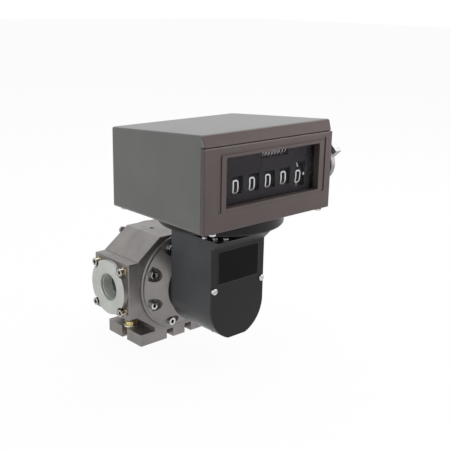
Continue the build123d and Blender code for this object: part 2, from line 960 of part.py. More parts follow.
with BuildPart() as idle_timing_gear:
    with BuildSketch(front_plane(timing_back)):
        with Locations((0, lower_z)):
            add(
                gear_face(
                    timing_teeth, timing_module, lower_timing_phase, rotor_shaft_radius + seat_gap
                )
            )
    extrude(amount=timing_width)
idle_timing_gear.part.label = "idle_timing_gear"
export_step(idle_timing_gear.part, "parts/idle_timing_gear.step")


# Output shaft with its pinion, from the front cover into the gear housing

with BuildPart() as output_shaft:
    with BuildSketch(front_plane(pinion_front - pinion_width)):
        with Locations((0, axis_height)):
            add(gear_face(pinion_teeth, timing_module, output_pinion_phase, train_shaft_radius / 2))
    extrude(amount=pinion_width)
    with BuildSketch(front_plane(pinion_front - pinion_width)):
        with Locations((0, axis_height)):
            Circle(train_shaft_radius)
    extrude(amount=change_front + 2 * shaft_overhang - pinion_front + pinion_width)
output_shaft.part.label = "output_shaft"
export_step(output_shaft.part, "parts/output_shaft.step")

with BuildPart() as output_seal:
    with BuildSketch(front_plane(cover_nose + end_gap)):
        with Locations((0, axis_height)):
            Circle(output_seal_radius)
            Circle(train_shaft_radius + running_gap, mode=Mode.SUBTRACT)
    extrude(amount=output_seal_length)
output_seal.part.label = "output_seal"
export_step(output_seal.part, "parts/output_seal.step")


# Change gears on the output shaft and the cross shaft

small_change_phase = meshing_phase(90, 0, large_change_teeth, small_change_teeth)


def change_gear(teeth, phase, height):
    with BuildPart() as gear:
        with BuildSketch(front_plane(change_back)):
            with Locations((0, height)):
                add(gear_face(teeth, change_module, phase, train_shaft_radius + seat_gap))
        extrude(amount=change_width)
        with BuildSketch(front_plane(change_back)):
            with Locations((0, height)):
                Circle(change_hub_radius)
                Circle(train_shaft_radius + seat_gap, mode=Mode.SUBTRACT)
        extrude(amount=end_gap - change_hub_length)
    return gear


large_change_gear = change_gear(large_change_teeth, 0, axis_height)
large_change_gear.part.label = "large_change_gear"
export_step(large_change_gear.part, "parts/large_change_gear.step")

small_change_gear = change_gear(small_change_teeth, small_change_phase, cross_z)
small_change_gear.part.label = "small_change_gear"
export_step(small_change_gear.part, "parts/small_change_gear.step")

cross_shaft_back = housing_rear + housing_wall + shaft_overhang

with BuildPart() as cross_shaft:
    with BuildSketch(front_plane(cross_shaft_back)):
        with Locations((0, cross_z)):
            Circle(train_shaft_radius)
    extrude(amount=change_front + 2 * shaft_overhang - cross_shaft_back)
cross_shaft.part.label = "cross_shaft"
export_step(cross_shaft.part, "parts/cross_shaft.step")


# Bevel gears and the vertical shaft

lower_crossing = (0, tower_y, cross_z)
upper_crossing = (0, drive_y, drive_z)
half_tooth_turn = 180 / bevel_teeth
cross_place = Plane(origin=lower_crossing, x_dir=(0, 0, 1), z_dir=(0, 1, 0))
lower_place = Plane(origin=lower_crossing, x_dir=(0, 1, 0), z_dir=(0, 0, 1))
upper_place = Plane(origin=upper_crossing, x_dir=(1, 0, 0), z_dir=(0, 0, -1))
counter_place = Plane(origin=upper_crossing, x_dir=(0, 0, -1), z_dir=(1, 0, 0))
bevel_length = bevel_pitch_radius + bevel_hub_length

cross_bevel = bevel_gear(cross_place, 0)
lower_bevel = bevel_gear(lower_place, half_tooth_turn)
upper_bevel = bevel_gear(upper_place, 0)
counter_bevel = bevel_gear(counter_place, half_tooth_turn)
bevel_bore = train_shaft_radius + seat_gap

with BuildPart() as cross_bevel_gear:
    add(bored(cross_bevel, cross_place, bevel_bore, bevel_length))
cross_bevel_gear.part.label = "cross_bevel_gear"
export_step(cross_bevel_gear.part, "parts/cross_bevel_gear.step")

with BuildPart() as vertical_bevel_gears:
    add(bored(lower_bevel, lower_place, bevel_bore, bevel_length))
    add(bored(upper_bevel, upper_place, bevel_bore, bevel_length))
vertical_bevel_gears.part.label = "vertical_bevel_gears"
export_step(vertical_bevel_gears.part, "parts/vertical_bevel_gears.step")

with BuildPart() as counter_bevel_gear:
    add(bored(counter_bevel, counter_place, drive_shaft_radius + seat_gap, bevel_length))
counter_bevel_gear.part.label = "counter_bevel_gear"
export_step(counter_bevel_gear.part, "parts/counter_bevel_gear.step")

vertical_low = cross_z + bevel_pitch_radius - bevel_face
vertical_high = drive_z - bevel_pitch_radius + bevel_face

with BuildPart() as vertical_shaft:
    with BuildSketch(Plane.XY.offset(vertical_low)):
        with Locations((0, tower_y)):
            Circle(train_shaft_radius)
    extrude(amount=vertical_high - vertical_low)
vertical_shaft.part.label = "vertical_shaft"
export_step(vertical_shaft.part, "parts/vertical_shaft.step")


# Bushes of the output, cross and vertical shafts

cross_boss_front = housing_rear + housing_wall + train_bush_length
tower_boss_low = housing_top - train_bush_length
disc_floor = disc_top - train_bush_length
train_bush_reach = train_bush_length - bush_setback
web_bush_back = web_back + web_thickness - train_bush_reach

with BuildPart() as gear_train_bushes:
    for back, height in (
        (cover_nose - train_bush_reach, axis_height),
        (web_bush_back, axis_height),
        (web_bush_back, cross_z),
        (cross_boss_front - train_bush_length, cross_z),
    ):
        with BuildSketch(front_plane(back)):
            with Locations((0, height)):
                Circle(train_bush_radius)
                Circle(train_shaft_radius + running_gap, mode=Mode.SUBTRACT)
        extrude(amount=train_bush_reach)
    for low in (tower_boss_low, disc_floor):
        with BuildSketch(Plane.XY.offset(low)):
            with Locations((0, tower_y)):
                Circle(train_bush_radius)
                Circle(train_shaft_radius + running_gap, mode=Mode.SUBTRACT)
        extrude(amount=train_bush_reach)
gear_train_bushes.part.label = "gear_train_bushes"
export_step(gear_train_bushes.part, "parts/gear_train_bushes.step")


# Gear housing

top_screw_spots = [
    (
        top_screw_circle * cos(radians(top_screw_middle + step * top_screw_step + turn)),
        tower_y + top_screw_circle * sin(radians(top_screw_middle + step * top_screw_step + turn)),
    )
    for step in (-1, 0, 1)
    for turn in (0, 180)
]
inner_half_width = housing_half_width - housing_wall
housing_inside_back = housing_rear + housing_wall
housing_roof = housing_top - housing_wall
mouth_top = housing_plate_top - housing_wall

with BuildPart() as gear_housing:
    with BuildSketch(front_plane(housing_rear)):
        add(housing_outline(0, housing_top))
    extrude(amount=housing_plate_back - housing_rear)
    with BuildSketch(Plane.YZ.offset(-housing_half_width)):
        with BuildLine():
            Polyline(
                (-housing_plate_back, housing_plate_top + seat_gap),
                (-housing_plate_front, housing_plate_top + seat_gap),
                (-lip_front, housing_top - lip_edge),
                (-lip_front, housing_top),
                (-housing_plate_back, housing_top),
                close=True,
            )
        make_face()
    extrude(amount=2 * housing_half_width)
    with BuildSketch(front_plane(housing_inside_back)):
        add(housing_outline(housing_wall, mouth_top))
    extrude(amount=housing_plate_back - housing_inside_back, mode=Mode.SUBTRACT)
    with BuildSketch(Plane.XY.offset(mouth_top)):
        with Locations((0, -(housing_inside_back + housing_plate_back - housing_wall) / 2)):
            Rectangle(
                2 * inner_half_width, housing_plate_back - housing_wall - housing_inside_back
            )
    extrude(amount=housing_roof - mouth_top, mode=Mode.SUBTRACT)
    with BuildSketch(front_plane(web_back)):
        add(housing_outline(housing_wall / 2, web_top))
    extrude(amount=web_thickness)
    with BuildSketch(front_plane(housing_inside_back)):
        with Locations((0, cross_z)):
            Circle(train_bush_radius + housing_wall)
    extrude(amount=train_bush_length)
    with BuildSketch(front_plane(cover_nose)):
        with Locations((0, axis_height)):
            Circle(neck_radius)
    extrude(amount=housing_rear - cover_nose)
    with BuildSketch(Plane.XY.offset(housing_roof)):
        with Locations((0, tower_y)):
            Circle(train_bush_radius + housing_wall)
    extrude(amount=tower_boss_low - housing_roof)
    with BuildSketch(front_plane(housing_plate_back)):
        with Locations((-plate_screw_x, plate_screw_z), (plate_screw_x, plate_screw_z)):
            Circle(plate_boss_radius)
    extrude(amount=-plate_boss_depth)
    with BuildSketch(Plane.XY.offset(housing_flat)):
        with Locations((drain_boss_x, drain_boss_y)):
            Circle(drain_boss_radius)
    extrude(amount=-drain_boss_height)
    with BuildSketch(front_plane(cover_nose)):
        with Locations((0, axis_height)):
            Circle(output_seal_radius + seat_gap)
    extrude(amount=output_seal_length + 2 * end_gap, mode=Mode.SUBTRACT)
    with BuildSketch(front_plane(cover_nose)):
        with Locations((0, axis_height)):
            Circle(train_shaft_radius + screw_hole_gap)
            with PolarLocations(neck_screw_circle, neck_screw_count, neck_screw_start):
                Circle(neck_screw_radius + screw_hole_gap)
    extrude(amount=housing_inside_back - cover_nose, mode=Mode.SUBTRACT)
    with BuildSketch(front_plane(housing_inside_back)):
        with Locations((0, cross_z)):
            Circle(train_bush_radius + seat_gap)
    extrude(amount=web_back + web_thickness - housing_inside_back, mode=Mode.SUBTRACT)
    with BuildSketch(front_plane(web_back)):
        with Locations((0, axis_height)):
            Circle(train_bush_radius + seat_gap)
    extrude(amount=web_thickness, mode=Mode.SUBTRACT)
    with BuildSketch(Plane.XY.offset(housing_top)):
        with Locations((0, tower_y)):
            Circle(train_bush_radius + seat_gap)
    extrude(amount=tower_boss_low - housing_top, mode=Mode.SUBTRACT)
    with BuildSketch(front_plane(housing_plate_back)):
        with Locations((-plate_screw_x, plate_screw_z), (plate_screw_x, plate_screw_z)):
            Circle(slot_shank_radius + thread_gap)
    extrude(amount=hole_floor - plate_boss_depth, mode=Mode.SUBTRACT)
    with BuildSketch(Plane.XY.offset(housing_top)):
        with Locations(*top_screw_spots):
            Circle(slot_shank_radius + thread_gap)
    extrude(amount=-top_screw_length - end_gap, mode=Mode.SUBTRACT)
gear_housing.part.label = "gear_housing"
export_step(gear_housing.part, "parts/gear_housing.step")

with BuildPart() as housing_front_plate:
    with BuildSketch(front_plane(housing_plate_back)):
        add(housing_outline(0, housing_plate_top))
        with Locations((-plate_screw_x, plate_screw_z), (plate_screw_x, plate_screw_z)):
            Circle(slot_shank_radius + screw_hole_gap / 2, mode=Mode.SUBTRACT)
    extrude(amount=housing_plate_front - housing_plate_back)
housing_front_plate.part.label = "housing_front_plate"
export_step(housing_front_plate.part, "parts/housing_front_plate.step")

plate_screw = slotted_screw(
    slot_head_radius, slot_head_height, slot_shank_radius, plate_screw_length
)

with BuildPart() as plate_screws:
    for side, turn in zip((-1, 1), plate_screw_turns):
        spot = Location((side * plate_screw_x, -housing_plate_front, plate_screw_z), (90, 0, 0))
        with Locations(spot * Location((0, 0, 0), (0, 0, turn))):
            add(plate_screw)
plate_screws.part.label = "plate_screws"
export_step(plate_screws.part, "parts/plate_screws.step")

top_screw = slotted_screw(top_head_radius, slot_head_height, slot_shank_radius, top_screw_length)

with BuildPart() as housing_top_screws:
    for number, (x, y) in enumerate(top_screw_spots):
        with Locations(Location((x, y, housing_top), (0, 0, top_screw_turn * number))):
            add(top_screw)
housing_top_screws.part.label = "housing_top_screws"
export_step(housing_top_screws.part, "parts/housing_top_screws.step")

neck_screw = socket_screw(
    neck_head_radius,
    neck_head_height,
    neck_screw_radius,
    housing_inside_back - cover_nose + neck_screw_grip,
    neck_socket_radius,
    neck_head_height / 2,
)

with BuildPart() as neck_screws:
    for number in range(neck_screw_count):
        angle = radians(neck_screw_start + 360 * number / neck_screw_count)
        x = neck_screw_circle * cos(angle)
        z = axis_height + neck_screw_circle * sin(angle)
        with Locations(Location((x, -housing_inside_back, z), (90, 0, 0))):
            add(neck_screw)
neck_screws.part.label = "neck_screws"
export_step(neck_screws.part, "parts/neck_screws.step")


# Round support of the counter

with BuildPart() as counter_mount_disc:
    with BuildSketch(Plane.XY.offset(disc_bottom)):
        with Locations((0, tower_y)):
            Circle(disc_radius)
    extrude(amount=disc_top - disc_bottom)
    fillet(counter_mount_disc.edges().sort_by(Axis.Z)[0], disc_round)
    fillet(counter_mount_disc.edges().sort_by(Axis.Z)[-1], body_edge)
    with BuildSketch(Plane.XY.offset(housing_top)):
        with Locations((0, tower_y)):
            Circle(tower_neck_radius)
    extrude(amount=disc_bottom - housing_top)
    with BuildSketch(Plane.XY.offset(housing_top)):
        with Locations((0, tower_y)):
            Circle(tower_cavity_radius)
    extrude(amount=disc_floor - housing_top, mode=Mode.SUBTRACT)
    with BuildSketch(Plane.XY.offset(disc_floor)):
        with Locations((0, tower_y)):
            Circle(train_bush_radius + seat_gap)
    extrude(amount=disc_top - disc_floor, mode=Mode.SUBTRACT)
counter_mount_disc.part.label = "counter_mount_disc"
export_step(counter_mount_disc.part, "parts/counter_mount_disc.step")


# Counter case


def case_plan(inset):
    """Outline of the case from above: slightly narrower at the back, with round rear corners."""
    left = case_left + inset
    right = case_right - inset
    back = case_back - inset
    with BuildSketch() as plan:
        with BuildLine():
            Polyline(
                (left, bevel_front - cut_margin),
                (right, bevel_front - cut_margin),
                (right - case_rear_taper, back),
                (left + case_rear_taper, back),
                close=True,
            )
        make_face()
        fillet(plan.vertices().group_by(Axis.Y)[-1], case_corner - inset)
    return plan.sketch


case_width = case_right - case_left
case_height = case_front_top - disc_top

with BuildPart() as case_shape:
    with BuildSketch(Plane.YZ.offset(case_left)):
        with BuildLine():
            Polyline(
                (case_back, disc_top),
                (case_back, case_back_top),
                (case_front, case_front_top),
                (bevel_front, bevel_low),
                (case_front, bevel_low),
                (case_front, disc_top),
                close=True,
            )
        make_face()
    extrude(amount=case_width)
    with BuildSketch(Plane.XY.offset(disc_top)):
        add(case_plan(0))
    extrude(amount=case_height, mode=Mode.INTERSECT)
    roof = case_shape.faces().filter_by(lambda face: face.normal_at().Z > 0.9).sort_by(Axis.Z)[-1]
    fillet(roof.edges(), case_top_round)

with BuildPart() as case_hollow:
    with BuildSketch(Plane.YZ.offset(case_left)):
        with BuildLine():
            Polyline(
                (case_back - case_wall, disc_top - cut_margin),
                (case_back - case_wall, case_back_top - roof_wall),
                (case_front + case_wall / 2, case_front_top - roof_wall),
                (bevel_front + nose_wall, bevel_low + case_wall),
                (case_front + case_wall, bevel_low + case_wall),
                (case_front + case_wall, bevel_low),
                (case_front - cut_margin, bevel_low),
                (case_front - cut_margin, disc_top - cut_margin),
                close=True,
            )
        make_face()
    extrude(amount=case_width)
    with BuildSketch(Plane.XY.offset(disc_top - cut_margin)):
        add(case_plan(case_wall))
    extrude(amount=case_height + cut_margin, mode=Mode.INTERSECT)

with BuildPart() as counter_case:
    add(case_shape.part)
    add(case_hollow.part, mode=Mode.SUBTRACT)
    with BuildSketch(Plane.XY.offset(disc_top)):
        with Locations(*counter_screw_spots[2:]):
            Circle(foot_boss_radius)
    extrude(amount=foot_boss_height)
    with BuildSketch(Plane.XY.offset(disc_top)):
        with Locations(*counter_screw_spots[2:]):
            Circle(slot_shank_radius + thread_gap)
    extrude(amount=foot_screw_length + end_gap, mode=Mode.SUBTRACT)
    with BuildSketch(Plane.YZ.offset(mech_right)):
        with Locations((reset_y, reset_z)):
            Circle(drive_shaft_radius + running_gap)
    extrude(amount=case_right - mech_right, mode=Mode.SUBTRACT)
counter_case.part.label = "counter_case"
export_step(counter_case.part, "parts/counter_case.step")


# Front frame with the window

frame_left = case_left - frame_side_reach
frame_right = case_right + frame_side_reach
frame_top = bevel_low - frame_gap
window_middle = ((window_left + window_right) / 2, (window_low + window_high) / 2)
window_size = (window_right - window_left, window_high - window_low)
channel_middle = ((channel_left + channel_right) / 2, (channel_low + channel_high) / 2)
channel_size = (channel_right - channel_left, channel_high - channel_low)

with BuildPart() as counter_front_frame:
    with BuildSketch(front_plane(-case_front)):
        with Locations(((frame_left + frame_right) / 2, (disc_top + frame_top) / 2)):
            Rectangle(frame_right - frame_left, frame_top - disc_top)
    extrude(amount=case_front - frame_front)
    fillet(counter_front_frame.faces().sort_by(Axis.Y)[0].edges(), frame_round)
    with BuildSketch(front_plane(-frame_front)):
        with Locations(channel_middle):
            RectangleRounded(*channel_size, window_corner)
        with Locations(window_middle):
            RectangleRounded(
                window_size[0] + 2 * bezel_width,
                window_size[1] + bezel_width,
                window_corner,
                mode=Mode.SUBTRACT,
            )
    extrude(amount=-channel_depth, mode=Mode.SUBTRACT)
    with BuildSketch(front_plane(-case_front)):
        with Locations(window_middle):
            RectangleRounded(
                window_size[0] + 2 * collar_wall, window_size[1] + 2 * collar_wall, window_corner
            )
    extrude(amount=case_front - collar_back)
    with BuildSketch(front_plane(-collar_back)):
        with Locations(window_middle):
            RectangleRounded(*window_size, window_corner)
    extrude(amount=collar_back - frame_front, mode=Mode.SUBTRACT)
    with BuildSketch(Plane.XY.offset(disc_top)):
        with Locations(*counter_screw_spots[:2]):
            Circle(slot_shank_radius + thread_gap)
    extrude(amount=foot_screw_length + end_gap, mode=Mode.SUBTRACT)
counter_front_frame.part.label = "counter_front_frame"
export_step(counter_front_frame.part, "parts/counter_front_frame.step")

with BuildPart() as window_glass:
    with BuildSketch(front_plane(-collar_back - glass_thickness)):
        with Locations(window_middle):
            Rectangle(window_size[0] + 2 * collar_wall, window_size[1] + 2 * collar_wall)
    extrude(amount=glass_thickness)
window_glass.part.label = "window_glass"
export_step(window_glass.part, "parts/window_glass.step")


# Floor of the counter and its screws

floor_left = case_left + case_wall + case_rear_taper + floor_gap
floor_right = case_right - case_wall - case_rear_taper - floor_gap

with BuildPart() as counter_floor_plate:
    with BuildSketch(Plane.XY.offset(disc_top)):
        with Locations(
            ((floor_left + floor_right) / 2, (case_front + case_back - case_wall) / 2)
        ):
            RectangleRounded(
                floor_right - floor_left,
                case_back - case_wall - case_front - 2 * floor_gap,
                case_corner,
            )
        with Locations((0, tower_y)):
            Circle(shaft_passage_radius, mode=Mode.SUBTRACT)
        with Locations(*counter_screw_spots[2:]):
            Circle(foot_boss_radius + floor_gap, mode=Mode.SUBTRACT)
    extrude(amount=counter_floor)
counter_floor_plate.part.label = "counter_floor_plate"
export_step(counter_floor_plate.part, "parts/counter_floor_plate.step")

# Dial plate, in front of the number wheels

slot_middle = (slot_low + slot_high) / 2
units_slot_middle = (units_slot_low + units_slot_high) / 2
total_slot_centre = (total_slot_left + total_slot_right) / 2

with BuildPart() as dial_plate:
    with BuildSketch(front_plane(-dial_back)):
        with Locations(((dial_left + dial_right) / 2, (dial_low + dial_high) / 2)):
            Rectangle(dial_right - dial_left, dial_high - dial_low)
        with Locations(*[(x, slot_middle) for x in wheel_centres[:-1]]):
            Rectangle(slot_width, slot_high - slot_low, mode=Mode.SUBTRACT)
        with Locations((wheel_centres[-1], units_slot_middle)):
            Rectangle(slot_width, units_slot_high - units_slot_low, mode=Mode.SUBTRACT)
        with Locations((total_slot_centre, total_slot_middle)):
            Rectangle(total_slot_right - total_slot_left, total_slot_height, mode=Mode.SUBTRACT)
    extrude(amount=dial_thickness)
dial_plate.part.label = "dial_plate"
export_step(dial_plate.part, "parts/dial_plate.step")


# Mechanism frame: a folded plate with two sides, a lug and the riveted transfer shaft

mech_end = mech_right + frame_plate

with BuildPart() as mechanism_frame:
    with BuildSketch(Plane.XY.offset(mech_bottom)):
        with Locations(((mech_left + mech_end) / 2, (dial_back + mech_back) / 2)):
            Rectangle(mech_end - mech_left, mech_back - dial_back)
        with Locations((0, tower_y)):
            Circle(shaft_passage_radius, mode=Mode.SUBTRACT)
    extrude(amount=mech_floor)
    for left in (mech_left, mech_right):
        with BuildSketch(Plane.YZ.offset(left)):
            with BuildLine():
                Polyline(
                    (dial_back, mech_bottom),
                    (dial_back, mech_top),
                    (mech_back - 2 * mech_corner, mech_top),
                    (mech_back, mech_top - 2 * mech_corner),
                    (mech_back, mech_bottom),
                    close=True,
                )
            make_face()
            with Locations((wheel_y, wheel_z)):
                Circle(wheel_shaft_radius + running_gap, mode=Mode.SUBTRACT)
        extrude(amount=frame_plate)
    with BuildSketch(Plane.YZ.offset(lug_x)):
        with Locations(((lug_front + lug_back) / 2, (mech_bottom + lug_top) / 2)):
            Rectangle(lug_back - lug_front, lug_top - mech_bottom)
    extrude(amount=frame_plate)
    with BuildSketch(Plane.YZ.offset(lug_x)):
        with Locations((drive_y, drive_z)):
            Circle(drive_shaft_radius + running_gap)
    extrude(amount=mech_end - lug_x, mode=Mode.SUBTRACT)
    with BuildSketch(Plane.YZ.offset(mech_right)):
        with Locations((reset_y, reset_z)):
            Circle(drive_shaft_radius + running_gap)
    extrude(amount=frame_plate, mode=Mode.SUBTRACT)
    with BuildSketch(Plane.YZ.offset(mech_left)):
        with Locations((transfer_y, transfer_z)):
            Circle(transfer_shaft_radius)
    extrude(amount=mech_end - mech_left)
mechanism_frame.part.label = "mechanism_frame"
export_step(mechanism_frame.part, "parts/mechanism_frame.step")


# Drive shaft of the counter with its gear


def shaft_along(x_start, x_end, y, z, radius):
    """Plain round shaft parallel to the X axis."""
    with BuildPart() as shaft:
        with BuildSketch(Plane.YZ.offset(x_start)):
            with Locations((y, z)):
                Circle(radius)
        extrude(amount=x_end - x_start)
    return shaft


counter_drive_shaft = shaft_along(
    lug_x - shaft_overhang, mech_end + shaft_overhang, drive_y, drive_z, drive_shaft_radius
)
counter_drive_shaft.part.label = "counter_drive_shaft"
export_step(counter_drive_shaft.part, "parts/counter_drive_shaft.step")

units_ring_x = wheel_centres[-1] + wheel_half_width

with BuildPart() as counter_drive_gear:
    with BuildSketch(Plane.YZ.offset(units_ring_x + end_gap)):
        with Locations((drive_y, drive_z)):
            add(gear_face(drive_teeth, ring_module, 0, drive_shaft_radius + seat_gap))
    extrude(amount=drive_width)
counter_drive_gear.part.label = "counter_drive_gear"
export_step(counter_drive_gear.part, "parts/counter_drive_gear.step")


# Number wheels, highest place first, each with a ring gear on its right


def number_wheel(centre, ring_phase):
    bore = wheel_shaft_radius + running_gap
    with BuildPart() as wheel:
        with BuildSketch(Plane.YZ.offset(centre - wheel_half_width)):
            with Locations((wheel_y, wheel_z)):
                Circle(wheel_radius)
                Circle(bore, mode=Mode.SUBTRACT)
        extrude(amount=2 * wheel_half_width)
        with BuildSketch(Plane.YZ.offset(centre + wheel_half_width)):
            with Locations((wheel_y, wheel_z)):
                add(gear_face(ring_teeth, ring_module, ring_phase, bore))
        extrude(amount=ring_width)
        with BuildSketch(Plane.YZ.offset(centre - wheel_half_width)):
            with Locations((wheel_y, wheel_z)):
                Circle(carry_radius)
                Circle(bore, mode=Mode.SUBTRACT)
        extrude(amount=-ring_width)
    return wheel


units_phase = meshing_phase(drive_direction, 0, drive_teeth, ring_teeth)

for index, centre in enumerate(wheel_centres):
    ring_phase = units_phase if index == wheel_count - 1 else 0
    wheel = number_wheel(centre, ring_phase)
    name = f"number_wheel_{index + 1}"
    wheel.part.label = name
    export_step(wheel.part, f"parts/{name}.step")


# Transfer pinions between neighbouring wheels

transfer_phase = meshing_phase(transfer_direction, 0, ring_teeth, transfer_teeth)
transfer_bore = transfer_shaft_radius + running_gap

for index in range(wheel_count - 1):
    start = wheel_centres[index] + wheel_half_width + wheel_side_gap
    end = wheel_centres[index + 1] - wheel_half_width - wheel_side_gap
    with BuildPart() as pinion:
        with BuildSketch(Plane.YZ.offset(start)):
            with Locations((transfer_y, transfer_z)):
                add(gear_face(transfer_teeth, ring_module, transfer_phase, transfer_bore))
        extrude(amount=end - start)
    name = f"transfer_pinion_{index + 1}"
    pinion.part.label = name
    export_step(pinion.part, f"parts/{name}.step")


# Wheel shaft and reset shaft, joined by a pair of equal gears

reset_gear_x = window_right + collar_wall + reset_gear_gap
reset_phase = meshing_phase(reset_direction, 0, reset_teeth, reset_teeth)
knob_x = case_right + knob_gap

with BuildPart() as wheel_shaft:
    with BuildSketch(Plane.YZ.offset(mech_left - shaft_overhang)):
        with Locations((wheel_y, wheel_z)):
            Circle(wheel_shaft_radius)
    extrude(amount=reset_gear_x - mech_left + shaft_overhang)
    with BuildSketch(Plane.YZ.offset(reset_gear_x)):
        with Locations((wheel_y, wheel_z)):
            add(gear_face(reset_teeth, ring_module, 0, wheel_shaft_radius / 2))
    extrude(amount=reset_gear_width)
wheel_shaft.part.label = "wheel_shaft"
export_step(wheel_shaft.part, "parts/wheel_shaft.step")

with BuildPart() as reset_shaft:
    with BuildSketch(Plane.YZ.offset(mech_right - shaft_overhang)):
        with Locations((reset_y, reset_z)):
            Circle(drive_shaft_radius)
    extrude(amount=knob_x + knob_thickness / 2 - mech_right + shaft_overhang)
    with BuildSketch(Plane.YZ.offset(reset_gear_x)):
        with Locations((reset_y, reset_z)):
            add(gear_face(reset_teeth, ring_module, reset_phase, drive_shaft_radius / 2))
    extrude(amount=reset_gear_width)
reset_shaft.part.label = "reset_shaft"
export_step(reset_shaft.part, "parts/reset_shaft.step")


# Reset knob: a disc with a wing across it

with BuildSketch() as wing:
    with BuildLine():
        Polyline(
            (-wing_length, -wing_end_width / 2),
            (-wing_length, wing_end_width / 2),
            (0, wing_middle_width / 2),
            (wing_length, wing_end_width / 2),
            (wing_length, -wing_end_width / 2),
            (0, -wing_middle_width / 2),
            close=True,
        )
    make_face()
    fillet(wing.vertices(), body_edge)

with BuildPart() as reset_knob:
    with BuildSketch(Plane.YZ.offset(knob_x)):
        with Locations((reset_y, reset_z)):
            Circle(knob_radius)
    extrude(amount=knob_thickness)
    fillet(reset_knob.edges().sort_by(Axis.X)[-1], knob_round)
    with BuildSketch(Plane.YZ.offset(knob_x + knob_thickness)):
        with Locations((reset_y, reset_z)):
            add(wing.sketch, rotation=wing_angle)
    extrude(amount=wing_height)
    chamfer(reset_knob.faces().sort_by(Axis.X)[-1].edges(), body_edge)
    with BuildSketch(Plane.YZ.offset(knob_x)):
        with Locations((reset_y, reset_z)):
            Circle(drive_shaft_radius + seat_gap)
    extrude(amount=knob_thickness / 2 + end_gap, mode=Mode.SUBTRACT)
reset_knob.part.label = "reset_knob"
export_step(reset_knob.part, "parts/reset_knob.step")


# Totaliser: a bracket with a riveted shaft, the first wheel and the wheels above it

total_pitch = (total_slot_right - total_slot_left) / total_wheels
total_centres = [
    total_slot_left + total_pitch * (step + 0.5) for step in range(total_wheels)
]
bracket_left = total_centres[0] - total_wheel_width / 2 - total_side_gap
bracket_right = total_centres[-1] + total_wheel_width / 2 + total_side_gap
bracket_roof = total_z + total_radius + total_bar_gap

with BuildPart() as totaliser_bracket:
    for left in (bracket_left - total_plate, bracket_right):
        with BuildSketch(Plane.YZ.offset(left)):
            with Locations(((dial_back + total_back) / 2, (total_z - total_drop + bracket_roof) / 2)):
                Rectangle(total_back - dial_back, bracket_roof - total_z + total_drop)
        extrude(amount=total_plate)
    with BuildSketch(Plane.XY.offset(bracket_roof)):
        with Locations(((bracket_left + bracket_right) / 2, (dial_back + total_back) / 2)):
            Rectangle(
                bracket_right - bracket_left + 2 * total_plate, total_back - dial_back
            )
    extrude(amount=total_plate)
    with BuildSketch(Plane.YZ.offset(bracket_left)):
        with Locations((total_y, total_z)):
            Circle(total_shaft_radius)
    extrude(amount=bracket_right - bracket_left)
totaliser_bracket.part.label = "totaliser_bracket"
export_step(totaliser_bracket.part, "parts/totaliser_bracket.step")


def totaliser_wheels(centres):
    with BuildPart() as wheels:
        for centre in centres:
            with BuildSketch(Plane.YZ.offset(centre - total_wheel_width / 2)):
                with Locations((total_y, total_z)):
                    Circle(total_radius)
                    Circle(total_shaft_radius + running_gap, mode=Mode.SUBTRACT)
            extrude(amount=total_wheel_width)
    return wheels


totaliser_first_wheel = totaliser_wheels(total_centres[-1:])
totaliser_first_wheel.part.label = "totaliser_first_wheel"
export_step(totaliser_first_wheel.part, "parts/totaliser_first_wheel.step")

totaliser_upper_wheels = totaliser_wheels(total_centres[:-1])
totaliser_upper_wheels.part.label = "totaliser_upper_wheels"
export_step(totaliser_upper_wheels.part, "parts/totaliser_upper_wheels.step")


# Screws under the counter, which hold the case and the front frame

counter_screw = slotted_screw(
    foot_screw_radius, foot_screw_head, slot_shank_radius, foot_screw_length
)

with BuildPart() as counter_screws:
    for x, y in counter_screw_spots:
        with Locations(Location((x, y, disc_top), (180, 0, 0))):
            add(counter_screw)
counter_screws.part.label = "counter_screws"
export_step(counter_screws.part, "parts/counter_screws.step")
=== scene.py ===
"""Surface finish, digits, screws and stage for a positive displacement flow meter."""

import json
from functools import cache
from math import cos, floor, hypot, pi, radians, sin
from typing import NamedTuple

import bmesh
import bpy
from mathutils import Matrix, Vector


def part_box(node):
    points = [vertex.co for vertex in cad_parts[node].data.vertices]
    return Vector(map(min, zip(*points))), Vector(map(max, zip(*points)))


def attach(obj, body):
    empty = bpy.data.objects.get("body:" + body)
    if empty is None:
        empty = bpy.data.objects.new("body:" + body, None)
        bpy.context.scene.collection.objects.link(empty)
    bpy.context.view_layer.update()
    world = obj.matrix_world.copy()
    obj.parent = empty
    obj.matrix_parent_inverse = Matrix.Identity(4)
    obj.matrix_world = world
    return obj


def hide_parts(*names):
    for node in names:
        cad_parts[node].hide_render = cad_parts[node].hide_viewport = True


bl_info = {
    "name": "Flow Meter Finish",
    "version": (1, 0, 0),
    "blender": (4, 5, 0),
    "location": "View3D > Sidebar > Flow Meter",
    "description": "Finishes, digits, screws and a studio stage for a flow meter with a counter",
    "category": "Object",
}

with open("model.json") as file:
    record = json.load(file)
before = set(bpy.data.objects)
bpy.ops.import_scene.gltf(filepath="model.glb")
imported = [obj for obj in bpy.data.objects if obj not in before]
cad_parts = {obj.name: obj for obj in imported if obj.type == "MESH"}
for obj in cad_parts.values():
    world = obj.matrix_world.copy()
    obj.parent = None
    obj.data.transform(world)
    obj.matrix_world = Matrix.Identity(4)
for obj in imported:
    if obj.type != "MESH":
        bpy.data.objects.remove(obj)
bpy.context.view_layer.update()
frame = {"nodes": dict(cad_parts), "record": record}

MM = 0.001
PIPE_AXIS = 100 * MM  # height of the pipe's middle and of the round covers'
BODY_OF = {
    node: body for body, nodes in frame["record"]["behaviour"]["bodies"].items() for node in nodes
}


# Sizes and colours that a user would change


def colour_setting(name, description, default):
    return bpy.props.FloatVectorProperty(
        name=name, description=description, subtype="COLOR", default=default
    )


def value_setting(name, description, default, unit="NONE"):
    return bpy.props.FloatProperty(
        name=name, description=description, default=default, unit=unit
    )


